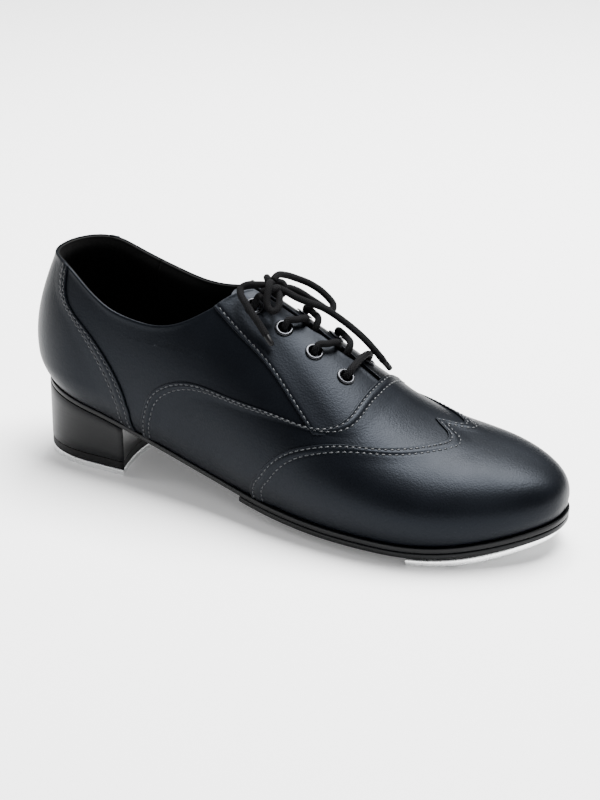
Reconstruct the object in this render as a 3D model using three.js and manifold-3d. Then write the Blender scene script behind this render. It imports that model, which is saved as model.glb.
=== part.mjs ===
// A right-foot tap shoe: leather oxford upper on a stacked sole, with a metal heel tap and toe tap.
// Millimetres. While it is built, x runs from the heel back (0) to the toe, y is 0 on the heel's middle
// line and grows towards the inner side of the foot, and z is up from the floor.
import * as THREE from 'three';
import * as BufferGeometryUtils from 'three/addons/utils/BufferGeometryUtils.js';
import Module from 'manifold-3d';

const wasm = await Module();
wasm.setup();

// ---- driving sizes, mm --------------------------------------------------------------------------
const shoeLength = 280;          // leather, heel back to toe
const clearance = 0.3;           // gap kept between pieces that touch on the real shoe
const seamGap = 0.5;             // gap along a seam line of the upper
const wideSeamGap = 1.6;         // the same where the two pieces' corners don't line up along the seam
const layerGap = 0.6;            // gap between the curved layers of the upper

const leather = 1.3;             // thickness of the upper leather
const liningLeather = 1.0;
const stiffener = 1.0;           // heel counter and toe puff
const tongueLeather = 1.6;

const toeTapThick = 3.6;
const heelTapThick = 3.4;
const topLiftThick = 4.2;
const halfSoleThick = 3.0;
const outsoleThick = 2.6;
const insoleThick = 1.8;
const sockThick = 1.4;
const shankThick = 1.3;
const shankWidth = 13;
const fillerThick = 1.3;

const soleEdge = 1.7;            // how far the forefoot sole stands out past the feather line
const waistEdge = 0.8;           // the same at the waist
const heelEdge = 0.8;            // and at the top of the heel
const heelFront = 59.5;          // the heel's front corners, along x
const heelHollow = 5;            // depth of the curve in the heel's front face
const heelSideTaper = 0.8;       // how much the heel block narrows on each side, top to bottom
const heelBackTaper = 2;
const halfSoleStart = 131;       // the half sole's back edge, along x
const toeTapStart = 221;         // the toe tap's back corners, along x
const toeTapHollow = 14;         // depth of the curve in the toe tap's back edge

const slitHalf = 3.2;            // half the gap between the two lacing flaps
const eyeletSetback = 10.6;      // eyelet centre to the flap's edge
const eyeletRows = 4;
const firstEyelet = 125;         // the eyelet row nearest the ankle, along x
const eyeletPitch = 16.3;
const eyeletFlangeRadius = 4.5;
const eyeletHoleRadius = 3.0;
const eyeletWall = 0.45;
const eyeletFlange = 0.5;
const laceDiameter = 3.4;

const screwHeadRadius = 3.4;
const screwShankRadius = 1.6;
const toeScrewLength = 8;
const heelScrewLength = 12;
const heelNailRadius = 2.2;
const heelNailLength = 20;

// ---- curves of the last, each over the share of the length from heel to toe ----------------------
const lateralWidth = [[0, 32.5], [0.13, 31.5], [0.4, 38], [0.64, 53], [0.82, 52], [1, 35]];
const medialWidth = [[0, 32.5], [0.13, 32.5], [0.4, 32.5], [0.64, 43], [0.74, 40], [0.86, 37.5], [1, 33]];
const ridgeSide = [[0, 0], [0.45, 0], [0.62, 3], [0.78, 5.5], [1, 3.5]];
const soleRise = [[0, 34], [0.2, 20.5], [0.42, 6.2], [0.62, 0.5], [0.72, 0], [0.86, 1.2], [1, 8.8]];
const wallHeight = [[0, 12], [0.3, 15], [0.6, 15], [0.85, 11], [1, 5]];
const tuckIn = [[0, 3], [0.3, 3.8], [0.6, 3.6], [0.85, 2.6], [1, 1]];
const ridgeHeight = [[0, 140], [0.2, 133], [0.34, 115], [0.42, 104.5], [0.6, 77.5], [0.75, 52.5], [0.88, 46], [1, 44]];
const lateralPower = [[0, 2], [0.3, 2], [0.5, 1.9], [0.7, 2.1], [0.85, 2.3], [1, 2.3]];
const medialPower = [[0, 2], [0.3, 2], [0.42, 1.75], [0.52, 1.6], [0.66, 1.6], [0.76, 1.9], [0.88, 2.4], [1, 2.4]];
const backLine = [[0, 4.2], [14, -1], [41, 2.3], [62, 10]];       // over height above the feather
const heelNose = { length: 0.14, power: 2.3 };
const toeNose = { length: 0.26, power: 2.3, heightPower: 3 };
const backReach = 0.3;           // share of the length over which the back line's curve fades out
const toeCrowding = 1.7;         // how the mesh's rings crowd together towards the tip of the toe
const wideLevel = 0.22;          // level of the widest line, from 0 at the feather to 1 at the ridge

// Natural cubic through (x, y) knots.
function spline(points) {
  const count = points.length;
  const x = points.map((p) => p[0]);
  const y = points.map((p) => p[1]);
  const bend = new Array(count).fill(0);
  const carry = new Array(count).fill(0);
  for (let i = 1; i < count - 1; i++) {
    const before = x[i] - x[i - 1];
    const after = x[i + 1] - x[i];
    const pivot = 2 * (before + after) - before * carry[i - 1];
    const load = 6 * ((y[i + 1] - y[i]) / after - (y[i] - y[i - 1]) / before);
    carry[i] = after / pivot;
    bend[i] = (load - before * bend[i - 1]) / pivot;
  }
  for (let i = count - 2; i > 0; i--) bend[i] -= carry[i] * bend[i + 1];
  return (q) => {
    let i = 0;
    while (i < count - 2 && q > x[i + 1]) i++;
    const d = x[i + 1] - x[i];
    const a = x[i + 1] - q;
    const b = q - x[i];
    return (bend[i] * a ** 3 + bend[i + 1] * b ** 3) / (6 * d)
      + (y[i] / d - (bend[i] * d) / 6) * a + (y[i + 1] / d - (bend[i + 1] * d) / 6) * b;
  };
}

const lateralAt = spline(lateralWidth);
const medialAt = spline(medialWidth);
const ridgeSideAt = spline(ridgeSide);
const riseAt = spline(soleRise);
const wallAt = spline(wallHeight);
const tuckAt = spline(tuckIn);
const ridgeAt = spline(ridgeHeight);
const lateralPowerAt = spline(lateralPower);
const medialPowerAt = spline(medialPower);
const backAt = spline(backLine);

const clamp = THREE.MathUtils.clamp;
const lerp = THREE.MathUtils.lerp;
const smooth = (t) => THREE.MathUtils.smoothstep(t, 0, 1);
const nose = (t, power) => Math.max(1 - clamp(t, 0, 1) ** power, 0) ** (1 / power);

const soleStack = toeTapThick + halfSoleThick + outsoleThick + 3 * clearance;
const featherAt = (x) => soleStack + riseAt(x / shoeLength);

function halfWidth(x, lateral) {
  const s = x / shoeLength;
  const heelEnd = nose((heelNose.length - s) / heelNose.length, heelNose.power);
  const toeEnd = nose((s - 1 + toeNose.length) / toeNose.length, toeNose.power);
  return (lateral ? lateralAt(s) : medialAt(s)) * heelEnd * toeEnd;
}

// The outer leather surface. level runs 0 at the outer (lateral) feather line, 1 on the ridge, 2 at the
// inner (medial) feather line.
function lastPoint(x, level) {
  const s = x / shoeLength;
  const lateral = level < 1;
  const v = lateral ? level : 2 - level;
  const side = lateral ? -1 : 1;
  const wide = halfWidth(x, lateral);
  const low = featherAt(x);
  const middle = low + wallAt(s);
  const toeEnd = nose((s - 1 + toeNose.length) / toeNose.length, toeNose.heightPower);
  const top = middle + (ridgeAt(s) - middle) * toeEnd;
  let px = x;
  let py = ridgeSideAt(s);
  let pz;
  if (v < wideLevel) {
    const up = v / wideLevel;
    const e = 0.3;
    const xa = clamp(x - e, 0.001, shoeLength - 0.002);
    const xb = clamp(x + e, 0.002, shoeLength - 0.001);
    const slope = (halfWidth(xb, lateral) - halfWidth(xa, lateral)) / (xb - xa);
    const atEnd = x < 0.01 || x > shoeLength - 0.01;
    const tuck = tuckAt(s) * (1 - up) ** 2;
    pz = lerp(low, middle, up);
    py += side * (wide - (atEnd ? 0 : tuck / Math.hypot(1, slope)));
    px += tuck * (atEnd ? Math.sign(shoeLength / 2 - x) : slope / Math.hypot(1, slope));
  } else {
    const angle = ((v - wideLevel) / (1 - wideLevel)) * Math.PI / 2;
    const power = 2 / (lateral ? lateralPowerAt(s) : medialPowerAt(s));
    pz = middle + (top - middle) * Math.sin(angle) ** power;
    py += side * wide * Math.max(Math.cos(angle), 0) ** power;
  }
  px += backAt(clamp(pz - low, 0, 100)) * smooth(1 - s / backReach);
  return new THREE.Vector3(px, py, pz);
}

// A point at height h over the outer leather surface, measured square to it.
function skin(x, level, h) {
  const point = lastPoint(x, level);
  const atBack = x < 0.05;
  const atTip = x > shoeLength - 0.05;
  const dx = 0.4;
  const dv = 0.006;
  const xm = clamp(x, dx + 0.5, shoeLength - dx - 0.5);
  const vm = clamp(level, dv, 2 - dv);
  const along = lastPoint(xm + dx, vm).sub(lastPoint(xm - dx, vm));
  const around = lastPoint(xm, vm + dv).sub(lastPoint(xm, vm - dv));
  const normal = along.cross(around).normalize();
  if (atBack || atTip) normal.y = 0;
  if (atTip) normal.z = 0;
  return point.addScaledVector(normal.normalize(), h);
}

// Arc distance from the ridge, to level. side is -1 for the outer flap and 1 for the inner one.
function levelFromRidge(x, distance) {
  const step = 0.05;
  const rate = lastPoint(x, 1).distanceTo(lastPoint(x, 1 - step)) / step;
  return 1 + distance / rate;
}

// Level of the outer surface at height z, on the outer side.
function levelAtHeight(x, z) {
  let low = wideLevel;
  let high = 1;
  for (let i = 0; i < 30; i++) {
    const middle = (low + high) / 2;
    if (lastPoint(x, middle).z < z) low = middle;
    else high = middle;
  }
  return (low + high) / 2;
}

// ---- seam lines of the upper, each as x and level on the outer side -------------------------------
// A line through hand-set (x, level) knots, run at an even pace.
function seam(knots) {
  const girth = 120;             // mm that a level of 1 stands for, only to pace the line
  const pace = [0];
  for (let i = 1; i < knots.length; i++) {
    const dx = knots[i][0] - knots[i - 1][0];
    const dv = (knots[i][1] - knots[i - 1][1]) * girth;
    pace.push(pace[i - 1] + Math.hypot(dx, dv));
  }
  const whole = pace[pace.length - 1];
  const alongAt = spline(knots.map((k, i) => [pace[i] / whole, k[0]]));
  const levelAt = spline(knots.map((k, i) => [pace[i] / whole, k[1]]));
  return (t) => [alongAt(t), levelAt(t)];
}

// Lines joined end to end, each taking the share of t up to the number given with it.
function chain(...links) {
  return (t) => {
    let start = 0;
    for (const [line, end] of links) {
      if (t <= end) return line((t - start) / (end - start));
      start = end;
    }
    return links[links.length - 1][0](1);
  };
}
const part = (line, from, to) => (t) => line(lerp(from, to, t));
const straight = (a, b) => (t) => [lerp(a[0], b[0], t), lerp(a[1], b[1], t)];

// Where a seam line reaches a level.
function shareAtLevel(line, level) {
  let low = 0;
  let high = 1;
  for (let i = 0; i < 30; i++) {
    const middle = (low + high) / 2;
    if (line(middle)[1] < level) low = middle;
    else high = middle;
  }
  return (low + high) / 2;
}

const L = shoeLength;
const foxingTop = 0.065 * L;
const collarFront = 0.385 * L;
const flapTop = 0.43 * L;        // where the lacing flaps end, at the slit
const throat = 0.66 * L;

const collarHeight = spline([[0, 107.5], [0.03 * L, 107.5], [0.065 * L, 105.5], [0.1 * L, 101.5], [0.18 * L, 90.5],
  [0.24 * L, 86.8], [0.29 * L, 86.2], [0.335 * L, 89.5], [collarFront, 97.5]]);
const collar = (x) => levelAtHeight(x, collarHeight(x));
const collarLine = (from, to) => (t) => {
  const x = lerp(from, to, t);
  return [x, collar(x)];
};
const slitLine = (from, to, setBack = 0) => (t) => {
  const x = lerp(from, to, t);
  return [x, levelFromRidge(x, -slitHalf - setBack)];
};

const vampBack = seam([[0.257 * L, 0], [0.264 * L, 0.15], [0.277 * L, 0.27], [0.31 * L, 0.345], [0.36 * L, 0.405],
  [0.45 * L, 0.45], [0.54 * L, 0.495], [0.6 * L, 0.53], [0.632 * L, 0.585], [0.65 * L, 0.66], [0.657 * L, 0.8],
  [throat, 1]]);
const wingEdge = seam([[0.493 * L, 0], [0.5 * L, 0.13], [0.523 * L, 0.255], [0.56 * L, 0.365], [0.605 * L, 0.45],
  [0.655 * L, 0.54], [0.715 * L, 0.645], [0.764 * L, 0.765], [0.79 * L, 0.85], [0.799 * L, 0.905], [0.793 * L, 0.945],
  [0.777 * L, 0.972], [0.757 * L, 1]]);
const flapFootShare = 0.675;     // where along the vamp's back seam the flap's back seam meets it
const flapBack = seam([vampBack(flapFootShare), [0.546 * L, 0.6], [0.494 * L, 0.655], [0.442 * L, 0.685],
  [collarFront, collar(collarFront)]]);
const foxingFront = seam([[0.24 * L, 0], [0.238 * L, 0.1], [0.232 * L, 0.23], [0.212 * L, 0.29], [0.182 * L, 0.34],
  [0.135 * L, 0.392], [0.085 * L, 0.455], [foxingTop, collar(foxingTop)]]);
const liningJoin = seam([[0.56 * L, 0], [0.61 * L, 0.5], [throat, 1]]);
const gripFront = 0.17 * L;

// A four-sided patch between lines: left and right run bottom to top, bottom and top left to right. The
// bends of the bottom and top lines fade out smoothly across it.
function patch(left, right, bottom, top) {
  const bend = (line, from, to) => (q, i) => line(q)[i] - lerp(from[i], to[i], q);
  const low = bend(bottom, left(0), right(0));
  const high = bend(top, left(1), right(1));
  return (q, t) => [0, 1].map((i) => lerp(left(t)[i], right(t)[i], q) + lerp(low(q, i), high(q, i), smooth(t)));
}
// A line on the outer side carried over the ridge and down the inner side, as x and level from 0 to 2.
const acrossRidge = (line) => (t) => {
  const [x, v] = line(t < 0.5 ? 2 * t : 2 - 2 * t);
  return [x, t < 0.5 ? v : 2 - v];
};
// Cloth between two lines that both cross the ridge. The back line runs ahead of the front one, so that
// the threads between them cross the cloth and don't fold over its edge.
const lead = 0.45;
function acrossPatch(back, front) {
  const a = acrossRidge((t) => back(t + lead * t * (1 - t)));
  const b = acrossRidge(front);
  return (q, t) => straight(a(t), b(t))(q);
}
// Cloth from a line that crosses the ridge to the tip of the toe. Its front edge closes on itself.
function toePatch(back) {
  const a = acrossRidge(back);
  return (q, t) => {
    const [x, v] = a(t);
    return [L - (L - x) * (1 - q) ** toeCrowding, lerp(v, 2 * t, q)];
  };
}
// Cloth wrapped round the back of the heel, between two levels given at x and at the heel back.
function heelPatch(front, bottomAt, topAt) {
  return (q, t) => {
    const a = 2 * q - 1;
    const [xe, ve] = front(t);
    const x = xe * a * a;
    const bottom = bottomAt(x);
    const top = topAt(x);
    const ends = [bottomAt(xe), topAt(xe)];
    const share = (ve - ends[0]) / (ends[1] - ends[0]);
    const v = lerp(bottom, top, lerp(t, share, a * a));
    return [x, a < 0 ? v : 2 - v];
  };
}
const mirrored = (map) => (q, t) => {
  const [x, v] = map(q, t);
  return [x, 2 - v];
};

// ---- turning shapes into closed meshes ------------------------------------------------------------
const group = new THREE.Group();

function add(name, geometry, colour, roughness, metalness = 0) {
  const material = new THREE.MeshStandardMaterial({ color: colour, roughness, metalness });
  const mesh = new THREE.Mesh(geometry, material);
  mesh.name = name;
  group.add(mesh);
  return mesh;
}

// A geometry from corner points and faces of three or four corners, with doubled points joined.
function welded(points, faces) {
  const found = new Map();
  const corners = [];
  const lookup = points.map((p) => {
    const key = [p.x, p.y, p.z].map((c) => Math.round(c * 1000)).join(' ');
    if (!found.has(key)) {
      found.set(key, corners.length / 3);
      corners.push(p.x, p.y, p.z);
    }
    return found.get(key);
  });
  const index = [];
  for (const face of faces) {
    const f = face.map((i) => lookup[i]);
    for (let i = 2; i < f.length; i++) {
      const triangle = [f[0], f[i - 1], f[i]];
      if (new Set(triangle).size === 3) index.push(...triangle);
    }
  }
  let volume = 0;
  const at = (i) => new THREE.Vector3().fromArray(corners, 3 * i);
  for (let i = 0; i < index.length; i += 3) {
    volume += at(index[i]).dot(at(index[i + 1]).cross(at(index[i + 2])));
  }
  if (volume < 0) index.reverse();
  const geometry = new THREE.BufferGeometry();
  geometry.setAttribute('position', new THREE.BufferAttribute(new Float32Array(corners), 3));
  geometry.setIndex(index);
  return geometry;
}

// A sheet of leather on the last between heights over its outer surface. The map gives x and level for
// q and t from 0 to 1. Its edges are drawn back by the seam's gap, apart from a closed front edge.
function sheet(map, qSteps, tSteps, outer, inner, closedFront = false, trim = seamGap) {
  const samples = 8;
  const span = (line) => {
    let length = 0;
    let last = skin(...line(0), 0);
    for (let i = 1; i <= samples; i++) {
      const next = skin(...line(i / samples), 0);
      length += next.distanceTo(last);
      last = next;
    }
    return length;
  };
  const cut = trim / 2;
  const points = [];
  const rows = qSteps + 1;
  for (const h of [outer, inner]) {
    for (let j = 0; j <= tSteps; j++) {
      for (let i = 0; i <= qSteps; i++) {
        const q0 = i / qSteps;
        const t0 = j / tSteps;
        const te = Math.min(cut / span((s) => map(q0, s)), 0.2);
        const t = lerp(te, 1 - te, t0);
        const qe = Math.min(cut / span((s) => map(s, t)), 0.2);
        const q = lerp(qe, closedFront ? 1 : 1 - qe, q0);
        const [x, level] = closedFront && i === qSteps ? map(1, t0) : map(q, t);
        points.push(skin(x, level, typeof h === 'function' ? h(x) : h));
      }
    }
  }
  const whole = rows * (tSteps + 1);
  const id = (i, j, k) => i + rows * j + whole * k;
  const faces = [];
  for (let j = 0; j < tSteps; j++) {
    for (let i = 0; i < qSteps; i++) {
      faces.push([id(i, j, 0), id(i + 1, j, 0), id(i + 1, j + 1, 0), id(i, j + 1, 0)]);
      faces.push([id(i, j, 1), id(i, j + 1, 1), id(i + 1, j + 1, 1), id(i + 1, j, 1)]);
    }
    faces.push([id(0, j, 0), id(0, j + 1, 0), id(0, j + 1, 1), id(0, j, 1)]);
    if (!closedFront) {
      faces.push([id(qSteps, j, 0), id(qSteps, j, 1), id(qSteps, j + 1, 1), id(qSteps, j + 1, 0)]);
    }
  }
  for (let i = 0; i < qSteps; i++) {
    faces.push([id(i, 0, 0), id(i, 0, 1), id(i + 1, 0, 1), id(i + 1, 0, 0)]);
    faces.push([id(i, tSteps, 0), id(i + 1, tSteps, 0), id(i + 1, tSteps, 1), id(i, tSteps, 1)]);
  }
  return welded(points, faces);
}

function toSolid(geometry) {
  const bare = geometry.clone();
  for (const name of Object.keys(bare.attributes)) {
    if (name !== 'position') bare.deleteAttribute(name);
  }
  const merged = BufferGeometryUtils.mergeVertices(bare, 1e-3);
  const index = Array.from(merged.index.array);
  const kept = [];
  for (let i = 0; i < index.length; i += 3) {
    const triangle = index.slice(i, i + 3);
    if (new Set(triangle).size === 3) kept.push(...triangle);
  }
  return new wasm.Manifold(new wasm.Mesh({
    numProp: 3,
    vertProperties: merged.attributes.position.array,
    triVerts: new Uint32Array(kept),
  }));
}

function toGeometry(solid) {
  const mesh = solid.getMesh();
  const geometry = new THREE.BufferGeometry();
  geometry.setAttribute('position', new THREE.BufferAttribute(mesh.vertProperties, 3));
  geometry.setIndex(new THREE.BufferAttribute(mesh.triVerts, 1));
  return geometry;
}

// The geometry with tools cut out of it.
const drilled = (geometry, tools) => toGeometry(tools.reduce((solid, tool) => solid.subtract(toSolid(tool)),
  toSolid(geometry)));

// A turned solid standing on a point, its axis along a direction. The profile runs radius, height.
function turned(profile, segments, point, direction) {
  const geometry = new THREE.LatheGeometry(profile.map((p) => new THREE.Vector2(...p)), segments);
  geometry.rotateX(Math.PI / 2);
  const turn = new THREE.Quaternion().setFromUnitVectors(new THREE.Vector3(0, 0, 1), direction);
  return geometry.applyQuaternion(turn).translate(point.x, point.y, point.z);
}

// An upright prism on a plan outline, through all heights of the shoe.
function prism(outline, bottom = -10, top = 150) {
  const geometry = new THREE.ExtrudeGeometry(new THREE.Shape(outline), { depth: top - bottom, bevelEnabled: false });
  return toSolid(geometry.translate(0, 0, bottom));
}

// A wide sheet under the shoe, straight across, between two heights that follow x.
function slab(topAt, bottomAt, from = -20, to = L + 20) {
  const wide = 90;
  const pitch = 9;
  const steps = Math.ceil((to - from) / pitch);
  const points = [];
  const faces = [];
  for (let i = 0; i <= steps; i++) {
    const x = lerp(from, to, i / steps);
    const a = clamp(x, 0, L);
    for (const [y, z] of [[-wide, topAt(a)], [wide, topAt(a)], [wide, bottomAt(a)], [-wide, bottomAt(a)]]) {
      points.push(new THREE.Vector3(x, y, z));
    }
    if (i === 0) continue;
    for (let k = 0; k < 4; k++) {
      const next = (k + 1) % 4;
      faces.push([4 * i - 4 + k, 4 * i - 4 + next, 4 * i + next, 4 * i + k]);
    }
  }
  faces.push([3, 2, 1, 0], [4 * steps, 4 * steps + 1, 4 * steps + 2, 4 * steps + 3]);
  return toSolid(welded(points, faces));
}

// ---- upper ------------------------------------------------------------------------------------------
const black = 0x23262c;
const upperIn = -leather;
// How deep the lining lies under the outer surface: deeper where the counter and the puff are.
function liningOut(x) {
  const s = x / L;
  const room = 1 - smooth((s - 0.24) / 0.1) + smooth((s - 0.7) / 0.1);
  return -leather - layerGap - room * (stiffener + layerGap);
}
const liningIn = (x) => liningOut(x) - liningLeather;

const flapRows = Array.from({ length: eyeletRows }, (_, i) => firstEyelet + i * eyeletPitch);
const flapPoint = (x, distance, h) => skin(x, levelFromRidge(x, distance), h);
const eyelets = flapRows.flatMap((x, row) => [-1, 1].map((side) => {
  const distance = side * (slitHalf + eyeletSetback);
  const seat = flapPoint(x, distance, 0);
  const direction = flapPoint(x, distance, 5).sub(seat).normalize();
  return { name: `eyelet_${side < 0 ? 'lateral' : 'medial'}_${row + 1}`, side, seat, direction };
}));
const barrelRadius = eyeletHoleRadius + eyeletWall;
const flapDepth = leather + layerGap + liningLeather;
function eyeletHoles(side) {
  const radius = barrelRadius + clearance;
  const reach = 6;
  return eyelets.filter((e) => e.side === side)
    .map((e) => turned([[0, -reach], [radius, -reach], [radius, reach], [0, reach]], 10, e.seat, e.direction));
}

const quarterMap = patch(foxingFront, flapBack,
  chain([straight(foxingFront(0), vampBack(0)), 0.06], [part(vampBack, 0, flapFootShare), 1]),
  collarLine(foxingTop, collarFront));
const slitShare = shareAtLevel(vampBack, levelFromRidge(throat, -slitHalf));
const slitFoot = vampBack(slitShare);
const flapMap = patch(flapBack, slitLine(slitFoot[0], flapTop), part(vampBack, flapFootShare, slitShare),
  straight([collarFront, collar(collarFront)], slitLine(flapTop, flapTop)(0)));
const liningSetBack = 0.8;       // the flap's lining ends this far short of the flap's edge
const liningTop = chain([collarLine(gripFront, collarFront), 0.45],
  [straight([collarFront, collar(collarFront)], slitLine(flapTop, flapTop, liningSetBack)(0)), 0.55],
  [slitLine(flapTop, slitFoot[0], liningSetBack), 1]);
const quarterLiningMap = patch(seam([[gripFront, 0], [gripFront, 0.3], [gripFront, collar(gripFront)]]),
  part(liningJoin, 0, shareAtLevel(liningJoin, slitLine(slitFoot[0], slitFoot[0], liningSetBack)(0)[1])),
  straight([gripFront, 0], liningJoin(0)), liningTop);

add('toe_cap', sheet(toePatch(wingEdge), 11, 40, 0, upperIn, true, wideSeamGap), black, 0.45);
add('vamp', sheet(acrossPatch(vampBack, wingEdge), 6, 50, 0, upperIn, false, wideSeamGap), black, 0.45);
add('heel_foxing', sheet(heelPatch(foxingFront, () => 0, collar), 20, 8, 0, upperIn), black, 0.45);
for (const [sideName, side] of [['lateral', -1], ['medial', 1]]) {
  const handed = side < 0 ? (map) => map : mirrored;
  const holes = eyeletHoles(side);
  add(`quarter_${sideName}`, sheet(handed(quarterMap), 18, 7, 0, upperIn, false, wideSeamGap), black, 0.45);
  add(`lacing_flap_${sideName}`, drilled(sheet(handed(flapMap), 8, 9, 0, upperIn, false, wideSeamGap), holes),
    black, 0.45);
  add(`quarter_lining_${sideName}`,
    drilled(sheet(handed(quarterLiningMap), 16, 8, liningOut, liningIn, false, wideSeamGap), holes), 0x1b1b1d, 0.8);
}
add('vamp_lining', sheet(toePatch(liningJoin), 11, 32, liningOut, liningIn, true), 0x1b1b1d, 0.8);
const gripEdge = seam([[gripFront, 0], [gripFront, 0.3], [gripFront, collar(gripFront)]]);
add('heel_grip', sheet(heelPatch(gripEdge, () => 0, collar), 16, 7, liningOut, liningIn), 0x1d1d1f, 0.95);

const counterFront = seam([[0.2 * L, 0.03], [0.19 * L, 0.2], [0.13 * L, 0.42]]);
const stiffenerOut = -leather - layerGap;
add('heel_counter', sheet(heelPatch(counterFront, () => 0.03, () => 0.42), 20, 6, stiffenerOut,
  stiffenerOut - stiffener), 0xb9a98c, 0.9);
const puffBack = seam([[0.84 * L, 0.1], [0.83 * L, 0.5], [0.82 * L, 1]]);
const puffMap = (q, t) => {
  const [x, v] = acrossRidge(puffBack)(t);
  return [L - (L - x) * (1 - q) ** toeCrowding, lerp(v, lerp(0.1, 1.9, t), q)];
};
add('toe_puff', sheet(puffMap, 6, 16, stiffenerOut, stiffenerOut - stiffener, true), 0xb9a98c, 0.9);

// The tongue lies under the lace, which runs below the flaps' lining, and rises to its seam at the front.
const tongueRoot = 0.69 * L;
const tongueTop = 0.385 * L;
const tongueHalf = 21;
const laceRoom = laceDiameter + 2 * clearance;
const lastRow = flapRows[eyeletRows - 1];
function tongueOut(x) {
  const dip = 1 - smooth((x - lastRow - laceDiameter) / 10);
  return -flapDepth - layerGap - dip * laceRoom;
}
const tongueMap = (q, t) => {
  const x = lerp(tongueRoot, tongueTop, q);
  const half = tongueHalf * lerp(0.8, 1, smooth(q * 2));
  return [x, levelFromRidge(x, lerp(-half, half, t))];
};
add('tongue', sheet(tongueMap, 12, 6, tongueOut, (x) => tongueOut(x) - tongueLeather), 0x202226, 0.6);

for (const eyelet of eyelets) {
  const lift = clearance + 0.15;
  const bottom = -flapDepth - clearance;
  const profile = [[eyeletHoleRadius, bottom], [barrelRadius, bottom], [barrelRadius, lift],
    [eyeletFlangeRadius, lift], [barrelRadius, lift + eyeletFlange], [eyeletHoleRadius, lift + eyeletFlange / 2],
    [eyeletHoleRadius, bottom]];
  add(eyelet.name, turned(profile, 10, eyelet.seat, eyelet.direction), 0x3a3a3c, 0.35, 0.9);
}

// ---- bottom: insole, shank, filler, soles, heel and taps --------------------------------------------
// The feather line in plan, moved outwards by a distance that follows x, from one x to another.
function planOutline(edgeAt, steps = 22) {
  const ring = [];
  const xAt = (i) => (L / 2) * (1 - Math.cos((i / steps) * Math.PI));
  for (let i = 0; i <= steps; i++) ring.push(lastPoint(xAt(i), 0));
  for (let i = steps - 1; i > 0; i--) ring.push(lastPoint(xAt(i), 2));
  return ring.map((p, i) => {
    const before = ring[(i + ring.length - 1) % ring.length];
    const after = ring[(i + 1) % ring.length];
    const along = new THREE.Vector2(after.x - before.x, after.y - before.y).normalize();
    const edge = edgeAt(p.x);
    return new THREE.Vector2(p.x + along.y * edge, p.y - along.x * edge);
  });
}

const soleTop = (x) => featherAt(x) - clearance;
const soleBottom = (x) => soleTop(x) - outsoleThick;
const halfSoleTop = (x) => soleBottom(x) - clearance;
const halfSoleBottom = (x) => halfSoleTop(x) - halfSoleThick;
const toeTapTop = (x) => halfSoleBottom(x) - clearance;
const toeTapBottom = (x) => toeTapTop(x) - toeTapThick;
const fillerTop = (x) => featherAt(x) + fillerThick;
const insoleBottom = (x) => fillerTop(x) + clearance;
const insoleTop = (x) => insoleBottom(x) + insoleThick;
const sockBottom = (x) => insoleTop(x) + clearance;
const sockTop = (x) => sockBottom(x) + sockThick;
const sink = (bottomAt, thick) => (x) => bottomAt(x) + thick;

const blendEdge = (x) => lerp(lerp(heelEdge, waistEdge, smooth((x - 45) / 25)), soleEdge,
  smooth((x - halfSoleStart + 15) / 35));
const upperWall = leather + layerGap + liningLeather + clearance;
const insoleEdge = (x) => -upperWall - clearance
  - (1 - smooth((x / L - 0.24) / 0.1) + smooth((x / L - 0.7) / 0.1)) * (stiffener + layerGap);

const soleSlope = (x) => new THREE.Vector3(riseAt((x - 1) / L) - riseAt((x + 1) / L), 0, 2).normalize();
function screwPlace(x, y, bottomAt) {
  return { point: new THREE.Vector3(x, y, bottomAt(x)), direction: soleSlope(x) };
}
const toeScrews = [[L - 14, 3.5], [toeTapStart + 18, -34], [toeTapStart + 18, 27]]
  .map(([x, y]) => screwPlace(x, y, toeTapBottom));
const heelTap = { front: heelFront - 1 };
const upright = new THREE.Vector3(0, 0, 1);
const heelScrews = [[20, 0], [heelTap.front - 13, -19], [heelTap.front - 13, 19]]
  .map(([x, y]) => ({ point: new THREE.Vector3(x, y, 0), direction: upright }));
const headDepth = 0.4;           // the screw heads sit this far inside the taps
const headCone = screwHeadRadius - screwShankRadius;
function screwHole({ point, direction }, length) {
  const wide = screwHeadRadius + clearance;
  const narrow = screwShankRadius + clearance;
  return turned([[0, -3], [wide, -3], [wide, headDepth], [narrow, headDepth + headCone],
    [narrow, length + clearance], [0, length + clearance]], 16, point, direction);
}
function screw({ point, direction }, length) {
  const crossDepth = 0.9;
  return turned([[0, headDepth + crossDepth], [0.8, headDepth], [screwHeadRadius, headDepth],
    [screwShankRadius, headDepth + headCone], [screwShankRadius, length - 1.5], [0, length]], 16, point, direction);
}
const toeHoles = toeScrews.map((place) => screwHole(place, toeScrewLength));
const heelHoles = heelScrews.map((place) => screwHole(place, heelScrewLength));
const nailPlace = screwPlace(30, 0, soleTop);
const nailHole = turned([[0, -heelNailLength - clearance], [heelNailRadius + clearance, -heelNailLength - clearance],
  [heelNailRadius + clearance, 4], [0, 4]], 14, nailPlace.point, nailPlace.direction);
const cutAll = (solid, tools) => toGeometry(tools.reduce((body, tool) => body.subtract(toSolid(tool)), solid));
const plate = (topAt, bottomAt, outline, from, to) => slab(topAt, bottomAt, from, to).intersect(prism(outline));

add('outsole', cutAll(plate(soleTop, soleBottom, planOutline(blendEdge)), [...toeHoles, nailHole]), 0x1a1a1c, 0.6);
add('half_sole', cutAll(plate(halfSoleTop, halfSoleBottom, planOutline((x) => blendEdge(x) - 0.2),
  halfSoleStart, L + 20), toeHoles), 0x19191b, 0.7);

const tapBackEdge = Array.from({ length: 13 }, (_, i) => {
  const across = lerp(1, -1, i / 12);
  return new THREE.Vector2(toeTapStart + toeTapHollow * (1 - across ** 2), 60 * across);
});
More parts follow.
